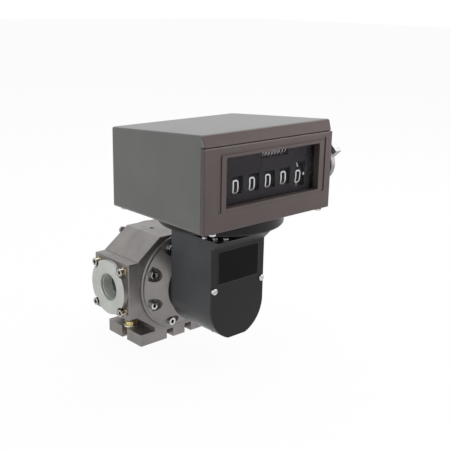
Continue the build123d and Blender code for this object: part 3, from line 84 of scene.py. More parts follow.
class StageSettings(bpy.types.PropertyGroup):
    floor_colour: colour_setting("Floor colour", "Floor round the meter", (0.94, 0.94, 0.94))
    floor_size: value_setting("Floor size", "Side of the floor", 30.0, "LENGTH")
    top_power: value_setting("Top lamp", "Power of the lamp above", 36.0, "POWER")
    side_power: value_setting("Side lamp", "Power of the lamp on the left", 13.0, "POWER")
    front_power: value_setting("Front lamp", "Power of the lamp in front", 15.0, "POWER")
    sheen_power: value_setting("Sheen lamp", "Power of the lamp high on the right", 9.0, "POWER")
    surround: value_setting("Surround", "Strength of the even light all round", 0.30)
    camera_place: bpy.props.FloatVectorProperty(
        name="Camera place",
        description="Where the camera stands",
        subtype="TRANSLATION",
        default=(-0.79333, -1.01338, 0.56038),
    )
    camera_turn: value_setting("Camera turn", "Turn from the Y axis", 42.83)
    camera_dip: value_setting("Camera dip", "Angle below the horizon", 16.2)
    camera_roll: value_setting("Camera roll", "Turn about the line of sight", 1.16)
    camera_lens: value_setting("Camera lens", "Focal length on a 36 mm sensor", 62.87)


class FinishSettings(bpy.types.PropertyGroup):
    body_metal: colour_setting("Body metal", "Satin metal of the body", (0.25, 0.235, 0.229))
    face_metal: colour_setting(
        "Turned metal", "Lighter turned faces of the pipe flanges", (0.47, 0.485, 0.455)
    )
    case_paint: colour_setting("Case paint", "Paint of the counter case", (0.115, 0.117, 0.112))
    # This colour also serves as painted shade on the case's nose, the faces of the case that point
    # to the front.
    frame_paint: colour_setting(
        "Frame paint", "Paint of the counter's front frame", (0.075, 0.058, 0.055)
    )
    housing_paint: colour_setting(
        "Housing paint", "Dark paint of the gear housing", (0.030, 0.031, 0.034)
    )
    plate_paint: colour_setting(
        "Plate paint", "Paint of the housing's front plate", (0.010, 0.0095, 0.010)
    )
    zinc: colour_setting("Yellow zinc", "Plating of washers and bolts", (0.62, 0.50, 0.24))
    mark_white: colour_setting("Mark white", "Paint of digits and marks", (0.92, 0.93, 0.97))


class DetailSettings(bpy.types.PropertyGroup):
    edge_round: value_setting("Edge round", "Rounding of machined edges", 0.0004, "LENGTH")
    paint_round: value_setting("Paint round", "Rounding of painted edges", 0.0007, "LENGTH")
    digit_height: value_setting("Digit height", "Height of a large digit", 0.0205, "LENGTH")
    digit_width: value_setting("Digit width", "Width of a large digit", 0.0112, "LENGTH")
    digit_stroke: value_setting("Digit stroke", "Stroke of a large digit", 0.0023, "LENGTH")
    small_digit_height: value_setting(
        "Small digit height", "Height of a totaliser digit", 0.0066, "LENGTH"
    )
    thread_pitch: value_setting("Thread pitch", "Pitch of the pipe thread", 0.0023, "LENGTH")
    label_thickness: value_setting(
        "Label thickness", "Thickness of the bare label", 0.0006, "LENGTH"
    )


# Meshes and pieces


def new_object(name, mesh):
    item = bpy.data.objects.new(name, mesh)
    bpy.context.scene.collection.objects.link(item)
    return item


def mesh_from(points, faces, name):
    mesh = bpy.data.meshes.new(name)
    mesh.from_pydata([tuple(point) for point in points], [], faces)
    mesh.update()
    return mesh


def solid_mesh(points, faces, name):
    """Closed mesh with all its faces turned outwards."""
    mesh = mesh_from(points, faces, name)
    shape = bmesh.new()
    shape.from_mesh(mesh)
    bmesh.ops.recalc_face_normals(shape, faces=shape.faces)
    shape.to_mesh(mesh)
    shape.free()
    return mesh


def apply_modifiers(item):
    """Turns the evaluated object into its own plain mesh."""
    depsgraph = bpy.context.evaluated_depsgraph_get()
    mesh = bpy.data.meshes.new_from_object(item.evaluated_get(depsgraph))
    item.modifiers.clear()
    item.data = mesh


def smooth_by_angle(mesh, degrees_limit=35):
    mesh.shade_smooth()
    mesh.set_sharp_from_angle(angle=radians(degrees_limit))


def merged_copy(node, name):
    """Object with a welded copy of a node's mesh, its flat faces made whole again."""
    mesh = frame["nodes"][node].data.copy()
    mesh.materials.clear()
    shape = bmesh.new()
    shape.from_mesh(mesh)
    bmesh.ops.remove_doubles(shape, verts=shape.verts, dist=0.000002)
    bmesh.ops.dissolve_limit(
        shape, angle_limit=radians(0.4), verts=shape.verts, edges=shape.edges
    )
    shape.to_mesh(mesh)
    shape.free()
    return new_object(name, mesh)


def settle(piece, node, replace=True):
    """Lets a finished piece ride on the body of its node, and hides the node when the piece
    replaces it.
    """
    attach(piece, BODY_OF[node])
    if replace:
        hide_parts(node)
    return piece


def dressed(node, paint, edge, segments=2, limit=28, edge_paint=None, soft=None, least=0.0):
    """Piece in place of a node: the same shape with rounded edges and smooth round faces.

    soft is (width, least face area, clamped) of a first, wider rounding of large faces. The fine
    rounding leaves out edges beside faces smaller than least.
    """
    piece = merged_copy(node, node + "_finished")
    piece.data.materials.append(finish(paint))
    if edge_paint:
        piece.data.materials.append(finish(edge_paint))
    if soft:
        round_edges(piece, soft[0], 4, limit, soft[1], soft[2])
    round_edges(piece, edge, segments, limit, least)
    smooth_by_angle(piece.data)
    flat = piece.modifiers.new("flat_faces", "WEIGHTED_NORMAL")
    flat.keep_sharp = True
    flat.weight = 60
    apply_modifiers(piece)
    low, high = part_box(node)
    for vertex in piece.data.vertices:
        vertex.co = [min(max(vertex.co[axis], low[axis]), high[axis]) for axis in range(3)]
    return settle(piece, node)


def round_edges(piece, width, segments, limit, least_area, clamped=True):
    """Rounds the sharp edges between faces that are large enough."""
    shape = bmesh.new()
    shape.from_mesh(piece.data)
    shape.normal_update()
    weights = [
        float(
            len(edge.link_faces) == 2
            and edge.calc_face_angle(0.0) > radians(limit)
            and (not least_area or edge.calc_face_angle_signed(0.0) > 0)
            and min(face.calc_area() for face in edge.link_faces) > least_area
        )
        for edge in shape.edges
    ]
    shape.free()
    weight = piece.data.attributes.new("bevel_weight_edge", "FLOAT", "EDGE")
    weight.data.foreach_set("value", weights)
    bevel = piece.modifiers.new("edges", "BEVEL")
    bevel.width = width
    bevel.segments = segments
    bevel.limit_method = "WEIGHT"
    bevel.use_clamp_overlap = clamped
    bevel.miter_outer = "MITER_ARC"
    bevel.material = 1 if len(piece.data.materials) > 1 else -1
    apply_modifiers(piece)
    left = piece.data.attributes.get("bevel_weight_edge")
    if left:
        piece.data.attributes.remove(left)


def paint_faces(piece, paint, test):
    """Gives another finish to the faces whose centre and normal pass the test."""
    piece.data.materials.append(finish(paint))
    index = len(piece.data.materials) - 1
    for face in piece.data.polygons:
        if test(face.center, face.normal):
            face.material_index = index


def repaint(node, paint):
    """Gives a node's own mesh a finish."""
    materials = frame["nodes"][node].data.materials
    materials.clear()
    materials.append(finish(paint))


def solids_of(node):
    """Low and high corner of each separate solid of a node."""
    shape = bmesh.new()
    shape.from_mesh(frame["nodes"][node].data)
    bmesh.ops.remove_doubles(shape, verts=shape.verts, dist=0.000002)
    left = set(shape.verts)
    boxes = []
    while left:
        front = [left.pop()]
        group = list(front)
        while front:
            corner = front.pop()
            for edge in corner.link_edges:
                other = edge.other_vert(corner)
                if other in left:
                    left.remove(other)
                    front.append(other)
                    group.append(other)
        low = Vector([min(corner.co[axis] for corner in group) for axis in range(3)])
        high = Vector([max(corner.co[axis] for corner in group) for axis in range(3)])
        boxes.append((low, high))
    shape.free()
    return sorted(boxes, key=lambda pair: (tuple(pair[0]), tuple(pair[1])))


def turned(rings, columns, name):
    """Closed mesh of rings about the Z axis; a ring is (height, radius for an angle)."""
    points = []
    for height, radius in rings:
        for column in range(columns):
            angle = 2 * pi * column / columns
            reach = radius(angle) if callable(radius) else radius
            points.append((reach * cos(angle), reach * sin(angle), height))
    faces = []
    for ring in range(len(rings) - 1):
        for column in range(columns):
            after = (column + 1) % columns
            here = ring * columns
            faces.append(
                (here + column, here + columns + column, here + columns + after, here + after)
            )
    faces.append(tuple(range(columns)))
    faces.append(tuple(reversed(range((len(rings) - 1) * columns, len(rings) * columns))))
    return solid_mesh(points, faces, name)


def hexagon(half_flats):
    """Radius of a hexagon at an angle."""
    return lambda angle: half_flats / cos(angle % (pi / 3) - pi / 6)


def plate_mesh(outline, depth_axis, low, high, name):
    """Flat plate between two depths; the outline's points lie across the depth axis."""
    others = [axis for axis in range(3) if axis != depth_axis]
    points = []
    for depth in (low, high):
        for across, up in outline:
            point = [0.0, 0.0, 0.0]
            point[others[0]] = across
            point[others[1]] = up
            point[depth_axis] = depth
            points.append(point)
    count = len(outline)
    faces = [tuple(range(count)), tuple(reversed(range(count, 2 * count)))]
    for number in range(count):
        after = (number + 1) % count
        faces.append((number, number + count, after + count, after))
    return solid_mesh(points, faces, name)


def rounded_rectangle(width, height, radius, steps=6):
    outline = []
    corners = ((1, 1, 0), (-1, 1, 90), (-1, -1, 180), (1, -1, 270))
    for side, up, start in corners:
        for step in range(steps + 1):
            angle = radians(start + 90 * step / steps)
            outline.append(
                (
                    side * (width / 2 - radius) + radius * cos(angle),
                    up * (height / 2 - radius) + radius * sin(angle),
                )
            )
    return outline


# Copies placed by Geometry Nodes


def copies_tree():
    """Geometry Nodes tree: one shape on every point, turned by the point's own angles."""
    name = "placed_copies"
    if name in bpy.data.node_groups:
        return bpy.data.node_groups[name]
    tree = bpy.data.node_groups.new(name, "GeometryNodeTree")
    face = tree.interface
    face.new_socket("Geometry", in_out="INPUT", socket_type="NodeSocketGeometry")
    face.new_socket("Shape", in_out="INPUT", socket_type="NodeSocketObject")
    face.new_socket("Size", in_out="INPUT", socket_type="NodeSocketFloat").default_value = 1.0
    face.new_socket("Material", in_out="INPUT", socket_type="NodeSocketMaterial")
    face.new_socket("Geometry", in_out="OUTPUT", socket_type="NodeSocketGeometry")
    nodes = tree.nodes
    start = nodes.new("NodeGroupInput")
    shape = nodes.new("GeometryNodeObjectInfo")
    angles = nodes.new("GeometryNodeInputNamedAttribute")
    angles.data_type = "FLOAT_VECTOR"
    angles.inputs["Name"].default_value = "angles"
    rotation = nodes.new("FunctionNodeEulerToRotation")
    copies = nodes.new("GeometryNodeInstanceOnPoints")
    real = nodes.new("GeometryNodeRealizeInstances")
    paint = nodes.new("GeometryNodeSetMaterial")
    end = nodes.new("NodeGroupOutput")
    link = tree.links.new
    link(start.outputs["Shape"], shape.inputs["Object"])
    link(start.outputs["Geometry"], copies.inputs["Points"])
    link(shape.outputs["Geometry"], copies.inputs["Instance"])
    link(angles.outputs["Attribute"], rotation.inputs["Euler"])
    link(rotation.outputs["Rotation"], copies.inputs["Rotation"])
    link(start.outputs["Size"], copies.inputs["Scale"])
    link(copies.outputs["Instances"], real.inputs["Geometry"])
    link(real.outputs["Geometry"], paint.inputs["Geometry"])
    link(start.outputs["Material"], paint.inputs["Material"])
    link(paint.outputs["Geometry"], end.inputs["Geometry"])
    return tree


def placed_copies(name, mesh, places, paint, node, replace=True):
    """Piece of a node made of copies of a mesh.

    A place is a point, the direction of the copy's Z axis and its turn about that axis.
    """
    shape = new_object(name + "_shape", mesh)
    cloud = mesh_from([point for point, _, _ in places], [], name)
    attribute = cloud.attributes.new("angles", "FLOAT_VECTOR", "POINT")
    for number, (_, direction, turn) in enumerate(places):
        rotation = Vector(direction).to_track_quat("Z", "Y").to_matrix()
        spun = rotation @ Matrix.Rotation(turn, 3, "Z")
        attribute.data[number].vector = spun.to_euler("XYZ")
    piece = new_object(name, cloud)
    modifier = piece.modifiers.new("copies", "NODES")
    tree = copies_tree()
    modifier.node_group = tree
    inputs = {
        item.name: item.identifier for item in tree.interface.items_tree if item.in_out == "INPUT"
    }
    modifier[inputs["Shape"]] = shape
    modifier[inputs["Material"]] = finish(paint)
    apply_modifiers(piece)
    bpy.data.objects.remove(shape)
    smooth_by_angle(piece.data, 40)
    settle(piece, node, replace)


# Shader groups that several finishes share

VECTOR = "NodeSocketVector"
FLOAT = "NodeSocketFloat"
COLOUR = "NodeSocketColor"


def node_group(name, inputs, outputs):
    """New shader group: the group, its node maker, its link maker, its start and its end."""
    group = bpy.data.node_groups.new(name, "ShaderNodeTree")
    for socket_name, kind, default in inputs:
        socket = group.interface.new_socket(socket_name, in_out="INPUT", socket_type=kind)
        if default is not None:
            socket.default_value = default
    for socket_name, kind in outputs:
        group.interface.new_socket(socket_name, in_out="OUTPUT", socket_type=kind)
    new = group.nodes.new
    return group, new, group.links.new, new("NodeGroupInput"), new("NodeGroupOutput")


def range_node(new, low, high):
    """Node that spreads the values between low and high over 0 to 1."""
    spread = new("ShaderNodeMapRange")
    spread.inputs["From Min"].default_value = low
    spread.inputs["From Max"].default_value = high
    return spread


@cache
def grain_group():
    """Fine even grain: a mask from 0 to 1 and a height."""
    group, new, link, start, end = node_group(
        "grain",
        (("Vector", VECTOR, None), ("Scale", FLOAT, 2500.0), ("Roughness", FLOAT, 0.6)),
        (("Mask", FLOAT), ("Height", FLOAT)),
    )
    noise = new("ShaderNodeTexNoise")
    noise.inputs["Detail"].default_value = 4.0
    spread = range_node(new, 0.3, 0.7)
    for name in ("Vector", "Scale", "Roughness"):
        link(start.outputs[name], noise.inputs[name])
    link(noise.outputs["Fac"], spread.inputs["Value"])
    link(spread.outputs["Result"], end.inputs["Mask"])
    link(noise.outputs["Fac"], end.inputs["Height"])
    return group


@cache
def clouds_group():
    """Two colours mixed by soft, uneven clouds."""
    group, new, link, start, end = node_group(
        "clouds",
        (
            ("Vector", VECTOR, None),
            ("Scale", FLOAT, 18.0),
            ("First Colour", COLOUR, (0.5, 0.5, 0.5, 1)),
            ("Second Colour", COLOUR, (0.4, 0.4, 0.4, 1)),
        ),
        (("Colour", COLOUR), ("Mask", FLOAT)),
    )
    noise = new("ShaderNodeTexNoise")
    noise.inputs["Detail"].default_value = 6.0
    noise.inputs["Roughness"].default_value = 0.55
    spread = range_node(new, 0.35, 0.65)
    mix = new("ShaderNodeMix")
    mix.data_type = "RGBA"
    link(start.outputs["Vector"], noise.inputs["Vector"])
    link(start.outputs["Scale"], noise.inputs["Scale"])
    link(noise.outputs["Fac"], spread.inputs["Value"])
    link(spread.outputs["Result"], mix.inputs["Factor"])
    link(start.outputs["First Colour"], mix.inputs[6])
    link(start.outputs["Second Colour"], mix.inputs[7])
    link(mix.outputs[2], end.inputs["Colour"])
    link(spread.outputs["Result"], end.inputs["Mask"])
    return group


@cache
def hammer_group():
    """Small round dimples of hammered enamel: a height and a mask of bright flake."""
    group, new, link, start, end = node_group(
        "hammered",
        (("Vector", VECTOR, None), ("Dimple Scale", FLOAT, 420.0), ("Flake Scale", FLOAT, 1600.0)),
        (("Height", FLOAT), ("Flake", FLOAT)),
    )
    dimples = new("ShaderNodeTexVoronoi")
    dimples.feature = "SMOOTH_F1"
    flakes = new("ShaderNodeTexNoise")
    flakes.inputs["Detail"].default_value = 2.0
    bright = range_node(new, 0.52, 0.72)
    link(start.outputs["Vector"], dimples.inputs["Vector"])
    link(start.outputs["Dimple Scale"], dimples.inputs["Scale"])
    link(start.outputs["Vector"], flakes.inputs["Vector"])
    link(start.outputs["Flake Scale"], flakes.inputs["Scale"])
    link(flakes.outputs["Fac"], bright.inputs["Value"])
    link(dimples.outputs["Distance"], end.inputs["Height"])
    link(bright.outputs["Result"], end.inputs["Flake"])
    return group


@cache
def turning_group():
    """Fine rings of a lathe tool about an axis through the origin of its vector."""
    group, new, link, start, end = node_group(
        "turning", (("Vector", VECTOR, None), ("Scale", FLOAT, 900.0)), (("Height", FLOAT),)
    )
    rings = new("ShaderNodeTexWave")
    rings.wave_type = "RINGS"
    rings.rings_direction = "X"
    rings.inputs["Distortion"].default_value = 1.2
    rings.inputs["Detail"].default_value = 2.0
    link(start.outputs["Vector"], rings.inputs["Vector"])
    link(start.outputs["Scale"], rings.inputs["Scale"])
    link(rings.outputs["Fac"], end.inputs["Height"])
    return group


# Finishes


def output_range(nodes, low, high):
    """Node that turns 0 to 1 into low to high."""
    spread = nodes.new("ShaderNodeMapRange")
    spread.inputs["To Min"].default_value = low
    spread.inputs["To Max"].default_value = high
    return spread


class Finish:
    """A material under construction, with its shader and its object coordinates."""

    def __init__(self, name, colour, roughness, metallic=0.0):
        self.material = bpy.data.materials.new(name)
        self.material.use_nodes = True
        self.tree = self.material.node_tree
        self.nodes = self.tree.nodes
        self.link = self.tree.links.new
        self.shader = self.nodes["Principled BSDF"]
        self.shader.inputs["Base Color"].default_value = (*colour, 1)
        self.shader.inputs["Roughness"].default_value = roughness
        self.shader.inputs["Metallic"].default_value = metallic
        self.material.diffuse_color = (*colour, 1)
        self.colour = colour
        self.roughness = roughness
        self.place = self.nodes.new("ShaderNodeTexCoord").outputs["Object"]

    def group(self, group, **values):
        node = self.nodes.new("ShaderNodeGroup")
        node.node_tree = group
        self.link(self.place, node.inputs["Vector"])
        for name, value in values.items():
            node.inputs[name.replace("_", " ")].default_value = value
        return node

    def clouds(self, scale, change):
        """Colour that drifts by a share lighter and darker."""
        light = [min(1.0, part * (1 + change)) for part in self.colour]
        dark = [part * (1 - change) for part in self.colour]
        node = self.group(
            clouds_group(), Scale=scale, First_Colour=(*light, 1), Second_Colour=(*dark, 1)
        )
        self.link(node.outputs["Colour"], self.shader.inputs["Base Color"])
        return node

    def rough_clouds(self, mask, change):
        """Roughness that follows a mask."""
        spread = output_range(self.nodes, self.roughness - change, self.roughness + change)
        self.link(mask, spread.inputs["Value"])
        self.link(spread.outputs["Result"], self.shader.inputs["Roughness"])

    def specular(self, level):
        self.shader.inputs["Specular IOR Level"].default_value = level

    def bump(self, height, strength, distance):
        bump = self.nodes.new("ShaderNodeBump")
        bump.inputs["Strength"].default_value = strength
        bump.inputs["Distance"].default_value = distance
        self.link(height, bump.inputs["Height"])
        self.link(bump.outputs["Normal"], self.shader.inputs["Normal"])


def scaled(colour, gain):
    """Lighter or darker colour, kept under full white."""
    return [min(1.0, part * gain) for part in colour]


def cover_metal(colour):
    """Satin metal with the fine rings of a lathe about the covers' middle."""
    metal = Finish("cover_metal", colour, 0.44, 0.8)
    metal.clouds(20.0, 0.08)
    turning = metal.group(turning_group(), Scale=520.0)
    centre = metal.nodes.new("ShaderNodeMapping")
    centre.inputs["Location"].default_value = (0, 0, -PIPE_AXIS)
    centre.inputs["Rotation"].default_value = (0, 0, pi / 2)
    metal.link(metal.place, centre.inputs["Vector"])
    metal.link(centre.outputs["Vector"], turning.inputs["Vector"])
    metal.bump(turning.outputs["Height"], 0.25, 0.00008)
    return metal


def painted_hammer(name, colour, roughness, flake_gain):
    """Hammered enamel: dimples, bright flakes and slow clouds under a thin clear coat."""
    paint = Finish(name, colour, roughness, 0.25)
    hammer = paint.group(hammer_group())
    cloud = paint.group(
        clouds_group(),
        Scale=14.0,
        First_Colour=(*[part * 1.07 for part in colour], 1),
        Second_Colour=(*[part * 0.93 for part in colour], 1),
    )
    mix = paint.nodes.new("ShaderNodeMix")
    mix.data_type = "RGBA"
    mix.inputs[7].default_value = (*scaled(colour, flake_gain), 1)
    paint.link(hammer.outputs["Flake"], mix.inputs["Factor"])
    paint.link(cloud.outputs["Colour"], mix.inputs[6])
    paint.link(mix.outputs[2], paint.shader.inputs["Base Color"])
    paint.rough_clouds(hammer.outputs["Flake"], 0.05)
    paint.bump(hammer.outputs["Height"], 0.16, 0.0005)
    paint.specular(0.35)
    paint.shader.inputs["Coat Weight"].default_value = 0.14
    paint.shader.inputs["Coat Roughness"].default_value = 0.28
    return paint


def window_glass():
    """Clear window: almost nothing but its faint smudges."""
    glass = Finish("window_glass", (0.30, 0.31, 0.31), 0.03)
    smudges = glass.group(grain_group(), Scale=60.0)
    spread = output_range(glass.nodes, 0.015, 0.03)
    glass.link(smudges.outputs["Mask"], spread.inputs["Value"])
    glass.link(spread.outputs["Result"], glass.shader.inputs["Alpha"])
    return glass


class Look(NamedTuple):
    """How a plain finish looks."""

    colour: tuple  # a colour, or the name of a colour setting and a gain
    roughness: float
    metallic: float
    clouds: tuple  # scale and change of colour
    rough_change: float = 0.0
    specular: float = 0.5
    grain: tuple = ()  # scale, roughness, strength and distance of its bumps


LOOKS = {
    "body_metal": Look(
        ("body_metal", 1), 0.47, 0.87, (26, 0.10), 0.05, grain=(1800, 0.6, 0.35, 0.00025)
    ),
    "body_metal_edge": Look(("body_metal", 1.7), 0.4, 0.9, (90, 0.12)),
    "turned_face_metal": Look(
        ("face_metal", 1), 0.42, 1, (40, 0.06), 0.04, grain=(2600, 0.6, 0.3, 0.0002)
    ),
    "port_metal": Look(("face_metal", 0.9), 0.5, 0.3, (60, 0.1)),
    "housing_paint": Look(
        ("housing_paint", 1), 0.38, 0, (22, 0.12), 0.06, 0.35, (700, 0.5, 0.22, 0.0004)
    ),
    "housing_edge_paint": Look(("housing_paint", 2.2), 0.34, 0, (60, 0.15)),
    "plate_paint": Look(
        ("plate_paint", 1), 0.34, 0, (16, 0.2), 0.05, 0.22, (900, 0.6, 0.12, 0.0003)
    ),
    "label_face": Look((0.004, 0.004, 0.0045), 0.3, 0, (30, 0.2), 0.04, 0.07),
    "label_rim": Look((0.045, 0.045, 0.047), 0.35, 0.8, (120, 0.1)),
    "bright_plating": Look((0.60, 0.60, 0.60), 0.2, 1, (160, 0.06), 0.05),
    "screw_steel": Look((0.42, 0.39, 0.36), 0.27, 1, (300, 0.25), 0.08),
    # painted shade: near-black finish of the plugs that stand in for the shade inside screw sockets
    "socket_black": Look((0.005, 0.005, 0.006), 0.6, 0, (200, 0.2), specular=0.1),
    "yellow_zinc": Look(("zinc", 1), 0.30, 1, (240, 0.22), 0.08),
    "washer_steel": Look((0.66, 0.67, 0.62), 0.28, 1, (200, 0.1), 0.05),
    "dial_face": Look(
        (0.016, 0.013, 0.018), 0.5, 0, (30, 0.12), 0.06, 0.12, (1600, 0.6, 0.1, 0.0002)
    ),
    "wheel_plastic": Look((0.004, 0.004, 0.006), 0.5, 0, (60, 0.15), 0.05, 0.1),
    "mark_paint": Look(("mark_white", 1), 0.5, 0, (300, 0.03)),
    "knob_plastic": Look(
        (0.26, 0.265, 0.27), 0.28, 0.7, (50, 0.15), 0.06, grain=(900, 0.6, 0.15, 0.0003)
    ),
    "inner_steel": Look((0.50, 0.50, 0.51), 0.34, 1, (80, 0.1), 0.06),
    "inner_brass": Look((0.68, 0.50, 0.22), 0.33, 1, (80, 0.12), 0.06),
    "inner_bronze": Look((0.52, 0.33, 0.17), 0.38, 1, (80, 0.12), 0.06),
    "seal_rubber": Look((0.016, 0.016, 0.017), 0.62, 0, (90, 0.2), 0.06),
}

# Name: colour setting, its gain, roughness and gain of the flakes.
HAMMERED = {
    "case_paint": ("case_paint", 1, 0.42, 1.25),
    # The frame's paint is also laid as painted shade on the case's front-facing faces.
    "frame_paint": ("frame_paint", 1, 0.42, 1.25),
    "case_edge_paint": ("case_paint", 1.25, 0.34, 1.3),
    "frame_edge_paint": ("frame_paint", 1.5, 0.34, 1.3),
}


def plain_finish(name, look, colours):
    """Finish made from its look alone."""
    colour = look.colour
    if isinstance(colour[0], str):
        colour = scaled(getattr(colours, colour[0]), colour[1])
    item = Finish(name, colour, look.roughness, look.metallic)
    item.specular(look.specular)
    cloud = item.clouds(*look.clouds)
    if look.rough_change:
        item.rough_clouds(cloud.outputs["Mask"], look.rough_change)
    if look.grain:
        scale, roughness, strength, distance = look.grain
        grain = item.group(grain_group(), Scale=scale, Roughness=roughness)
        item.bump(grain.outputs["Height"], strength, distance)
    return item


@cache
def finish(name):
    """Material of that name, made the first time it is asked for."""
    colours = bpy.context.scene.flow_meter_finish
    if name in HAMMERED:
        setting, gain, roughness, flake_gain = HAMMERED[name]
        colour = scaled(getattr(colours, setting), gain)
        item = painted_hammer(name, colour, roughness, flake_gain)
    elif name == "cover_metal":
        item = cover_metal(colours.body_metal)
    elif name == "window_glass":
        item = window_glass()
    else:
        item = plain_finish(name, LOOKS[name], colours)
    return item.material


# Digits

PAINT_LIFT = 0.06 * MM
PAINT_SHARE = 0.05  # painted strokes are pressed flat to this share of their height


def arc(centre, radii, start, end, steps=8):
    """Points of an elliptic arc between two angles in degrees."""
    return [
        (
            centre[0] + radii[0] * cos(radians(start + (end - start) * step / steps)),
            centre[1] + radii[1] * sin(radians(start + (end - start) * step / steps)),
        )
        for step in range(steps + 1)
    ]


def digit_lines(digit, width, height):
    """Centre lines of a digit as (points, closed), about its own middle."""
    w = width / 2
    h = height / 2
    q = h / 2
    ring = rounded_rectangle(width, height, width * 0.32)
    upper = [(x, y * 0.5 + q) for x, y in rounded_rectangle(width, height, width * 0.4)]
    lower = [(x, y - h) for x, y in upper]
    shapes = {
        0: [(ring, True)],
        1: [([(-w * 0.5, h * 0.6), (w * 0.1, h), (w * 0.1, -h)], False)],
        2: [(arc((0, h - w), (w, w), 165, -35) + [(-w, -h), (w, -h)], False)],
        3: [(arc((0, q), (w, q), 150, -90) + arc((0, -q), (w, q), 90, -150), False)],
        4: [([(w * 0.45, -h), (w * 0.45, h), (-w, -q * 0.7), (w, -q * 0.7)], False)],
        5: [([(w, h), (-w, h), (-w, q * 0.3)] + arc((0, -q), (w, q * 1.05), 120, -150), False)],
        6: [(lower, True), (arc((0, -q), (w, h * 1.4), 180, 85), False)],
        7: [([(-w, h), (w, h), (-w * 0.3, -h)], False)],
        8: [(upper, True), (lower, True)],
        9: [(upper, True), (arc((0, q), (w, h * 1.4), 0, -95), False)],
    }
    return shapes[digit]


def fine_line(corners, closed, step=0.0008):
    """The same line with points close enough to bend round a wheel."""
    ends = corners[1:] + corners[:1] if closed else corners[1:]
    points = []
    for (x1, y1), (x2, y2) in zip(corners, ends):
        count = max(1, round(hypot(x2 - x1, y2 - y1) / step))
        points += [
            (x1 + (x2 - x1) * part / count, y1 + (y2 - y1) * part / count)
            for part in range(count)
        ]
    return points if closed else points + [corners[-1]]


def stroke_mesh(lines, stroke, name):
    """Painted lines as a thin mesh in the XY plane, round at their ends."""
    curve = bpy.data.curves.new(name, "CURVE")
    curve.dimensions = "3D"
    curve.bevel_depth = stroke / 2
    curve.bevel_resolution = 2
    curve.use_fill_caps = True
    for corners, closed in lines:
        points = fine_line(corners, closed)
        spline = curve.splines.new("POLY")
        spline.points.add(len(points) - 1)
        for number, (x, y) in enumerate(points):
            spline.points[number].co = (x, y, 0, 1)
        spline.use_cyclic_u = closed
    item = new_object(name, curve)
    mesh = bpy.data.meshes.new_from_object(item)
    bpy.data.objects.remove(item)
    return mesh


def wrap_digit(mesh, wheel, angle):
    """Points of a flat digit laid on a wheel about an axis parallel to X."""
    centre_x, axis_y, axis_z, radius = wheel
    points = []
    for vertex in mesh.vertices:
        turn = angle + vertex.co.y / radius
        reach = radius + PAINT_LIFT + vertex.co.z * PAINT_SHARE
        points.append(
            (centre_x + vertex.co.x, axis_y - reach * cos(turn), axis_z + reach * sin(turn))
        )
    return points


def digit_ring(name, wheel, width, height, stroke, tilt=0.0, shift=0):
    """Ten digits round one wheel; the wheel is (centre x, axis y, axis z, radius)."""
    points = []
    faces = []
    for digit in range(10):
        lines = digit_lines(digit, width - stroke, height - stroke)
        mesh = stroke_mesh(lines, stroke, "digit")
        base = len(points)
        angle = tilt + 2 * pi * (digit - shift) / 10
        points += wrap_digit(mesh, wheel, angle)
        faces += [tuple(base + corner for corner in face.vertices) for face in mesh.polygons]
        bpy.data.meshes.remove(mesh)
    piece = new_object(name, solid_mesh(points, faces, name))
    piece.data.materials.append(finish("mark_paint"))
    return piece


# Stage

# Name, place, target, side, power setting and colour of each square lamp.
LAMPS = (
    ("top_lamp", (0.35, -0.05, 2.15), (0, -0.1, 0.2), 2.4, "top_power", (0.95, 1.0, 0.99)),
    ("left_lamp", (-2.2, -0.3, 0.9), (0, -0.1, 0.2), 1.6, "side_power", (0.97, 1.0, 0.97)),
    ("front_lamp", (1.5, -1.9, 0.5), (0, -0.1, 0.2), 1.6, "front_power", (1.0, 0.88, 0.88)),
    ("sheen_lamp", (1.6, -0.5, 1.9), (0.1, -0.2, 0.3), 0.8, "sheen_power", (1.0, 0.97, 1.0)),
)
FLOOR_GLOW_SHARE = 0.95


class FLOWMETER_OT_stage(bpy.types.Operator):
    """Pale floor, soft lamps, an even surround and the camera"""

    bl_idname = "flow_meter.stage"
    bl_label = "Stage"

    def execute(self, context):
        stage = context.scene.flow_meter_stage
        half = stage.floor_size / 2
        corners = [(-half, -half, 0), (half, -half, 0), (half, half, 0), (-half, half, 0)]
        ground = new_object("studio_floor", mesh_from(corners, [(0, 1, 2, 3)], "studio_floor"))
        ground.data.materials.append(floor_material(stage.floor_colour))
        for name, place, target, side, power, colour in LAMPS:
            lamp(name, place, target, side, getattr(stage, power), colour)
        surround(context.scene, stage.surround)
        place_camera(context.scene, stage)
        context.scene.view_settings.view_transform = "Standard"
        return {"FINISHED"}


def floor_material(colour):
    """White floor that keeps a soft shadow and shows white to the camera and to reflections."""
    material = bpy.data.materials.new("studio_floor")
    material.use_nodes = True
    nodes = material.node_tree.nodes
    link = material.node_tree.links.new
    shader = nodes["Principled BSDF"]
    shader.inputs["Base Color"].default_value = (*colour, 1)
    shader.inputs["Roughness"].default_value = 0.9
    shader.inputs["Specular IOR Level"].default_value = 0.1
    glow = nodes.new("ShaderNodeEmission")
    glow.inputs["Strength"].default_value = 1.0
    mix = nodes.new("ShaderNodeMixShader")
    share = nodes.new("ShaderNodeMath")
    share.operation = "MULTIPLY"
    share.inputs[1].default_value = FLOOR_GLOW_SHARE
    link(seen_rays(nodes, link), share.inputs[0])
    link(share.outputs["Value"], mix.inputs["Fac"])
    link(shader.outputs["BSDF"], mix.inputs[1])
    link(glow.outputs["Emission"], mix.inputs[2])
    link(mix.outputs["Shader"], nodes["Material Output"].inputs["Surface"])
    return material


def seen_rays(nodes, link):
    """1 for rays from the camera, a reflection or a transmission, otherwise 0."""
    path = nodes.new("ShaderNodeLightPath")
    first = nodes.new("ShaderNodeMath")
    first.operation = "MAXIMUM"
    second = nodes.new("ShaderNodeMath")
    second.operation = "MAXIMUM"
    link(path.outputs["Is Camera Ray"], first.inputs[0])
    link(path.outputs["Is Glossy Ray"], first.inputs[1])
    link(first.outputs["Value"], second.inputs[0])
    link(path.outputs["Is Transmission Ray"], second.inputs[1])
    return second.outputs["Value"]


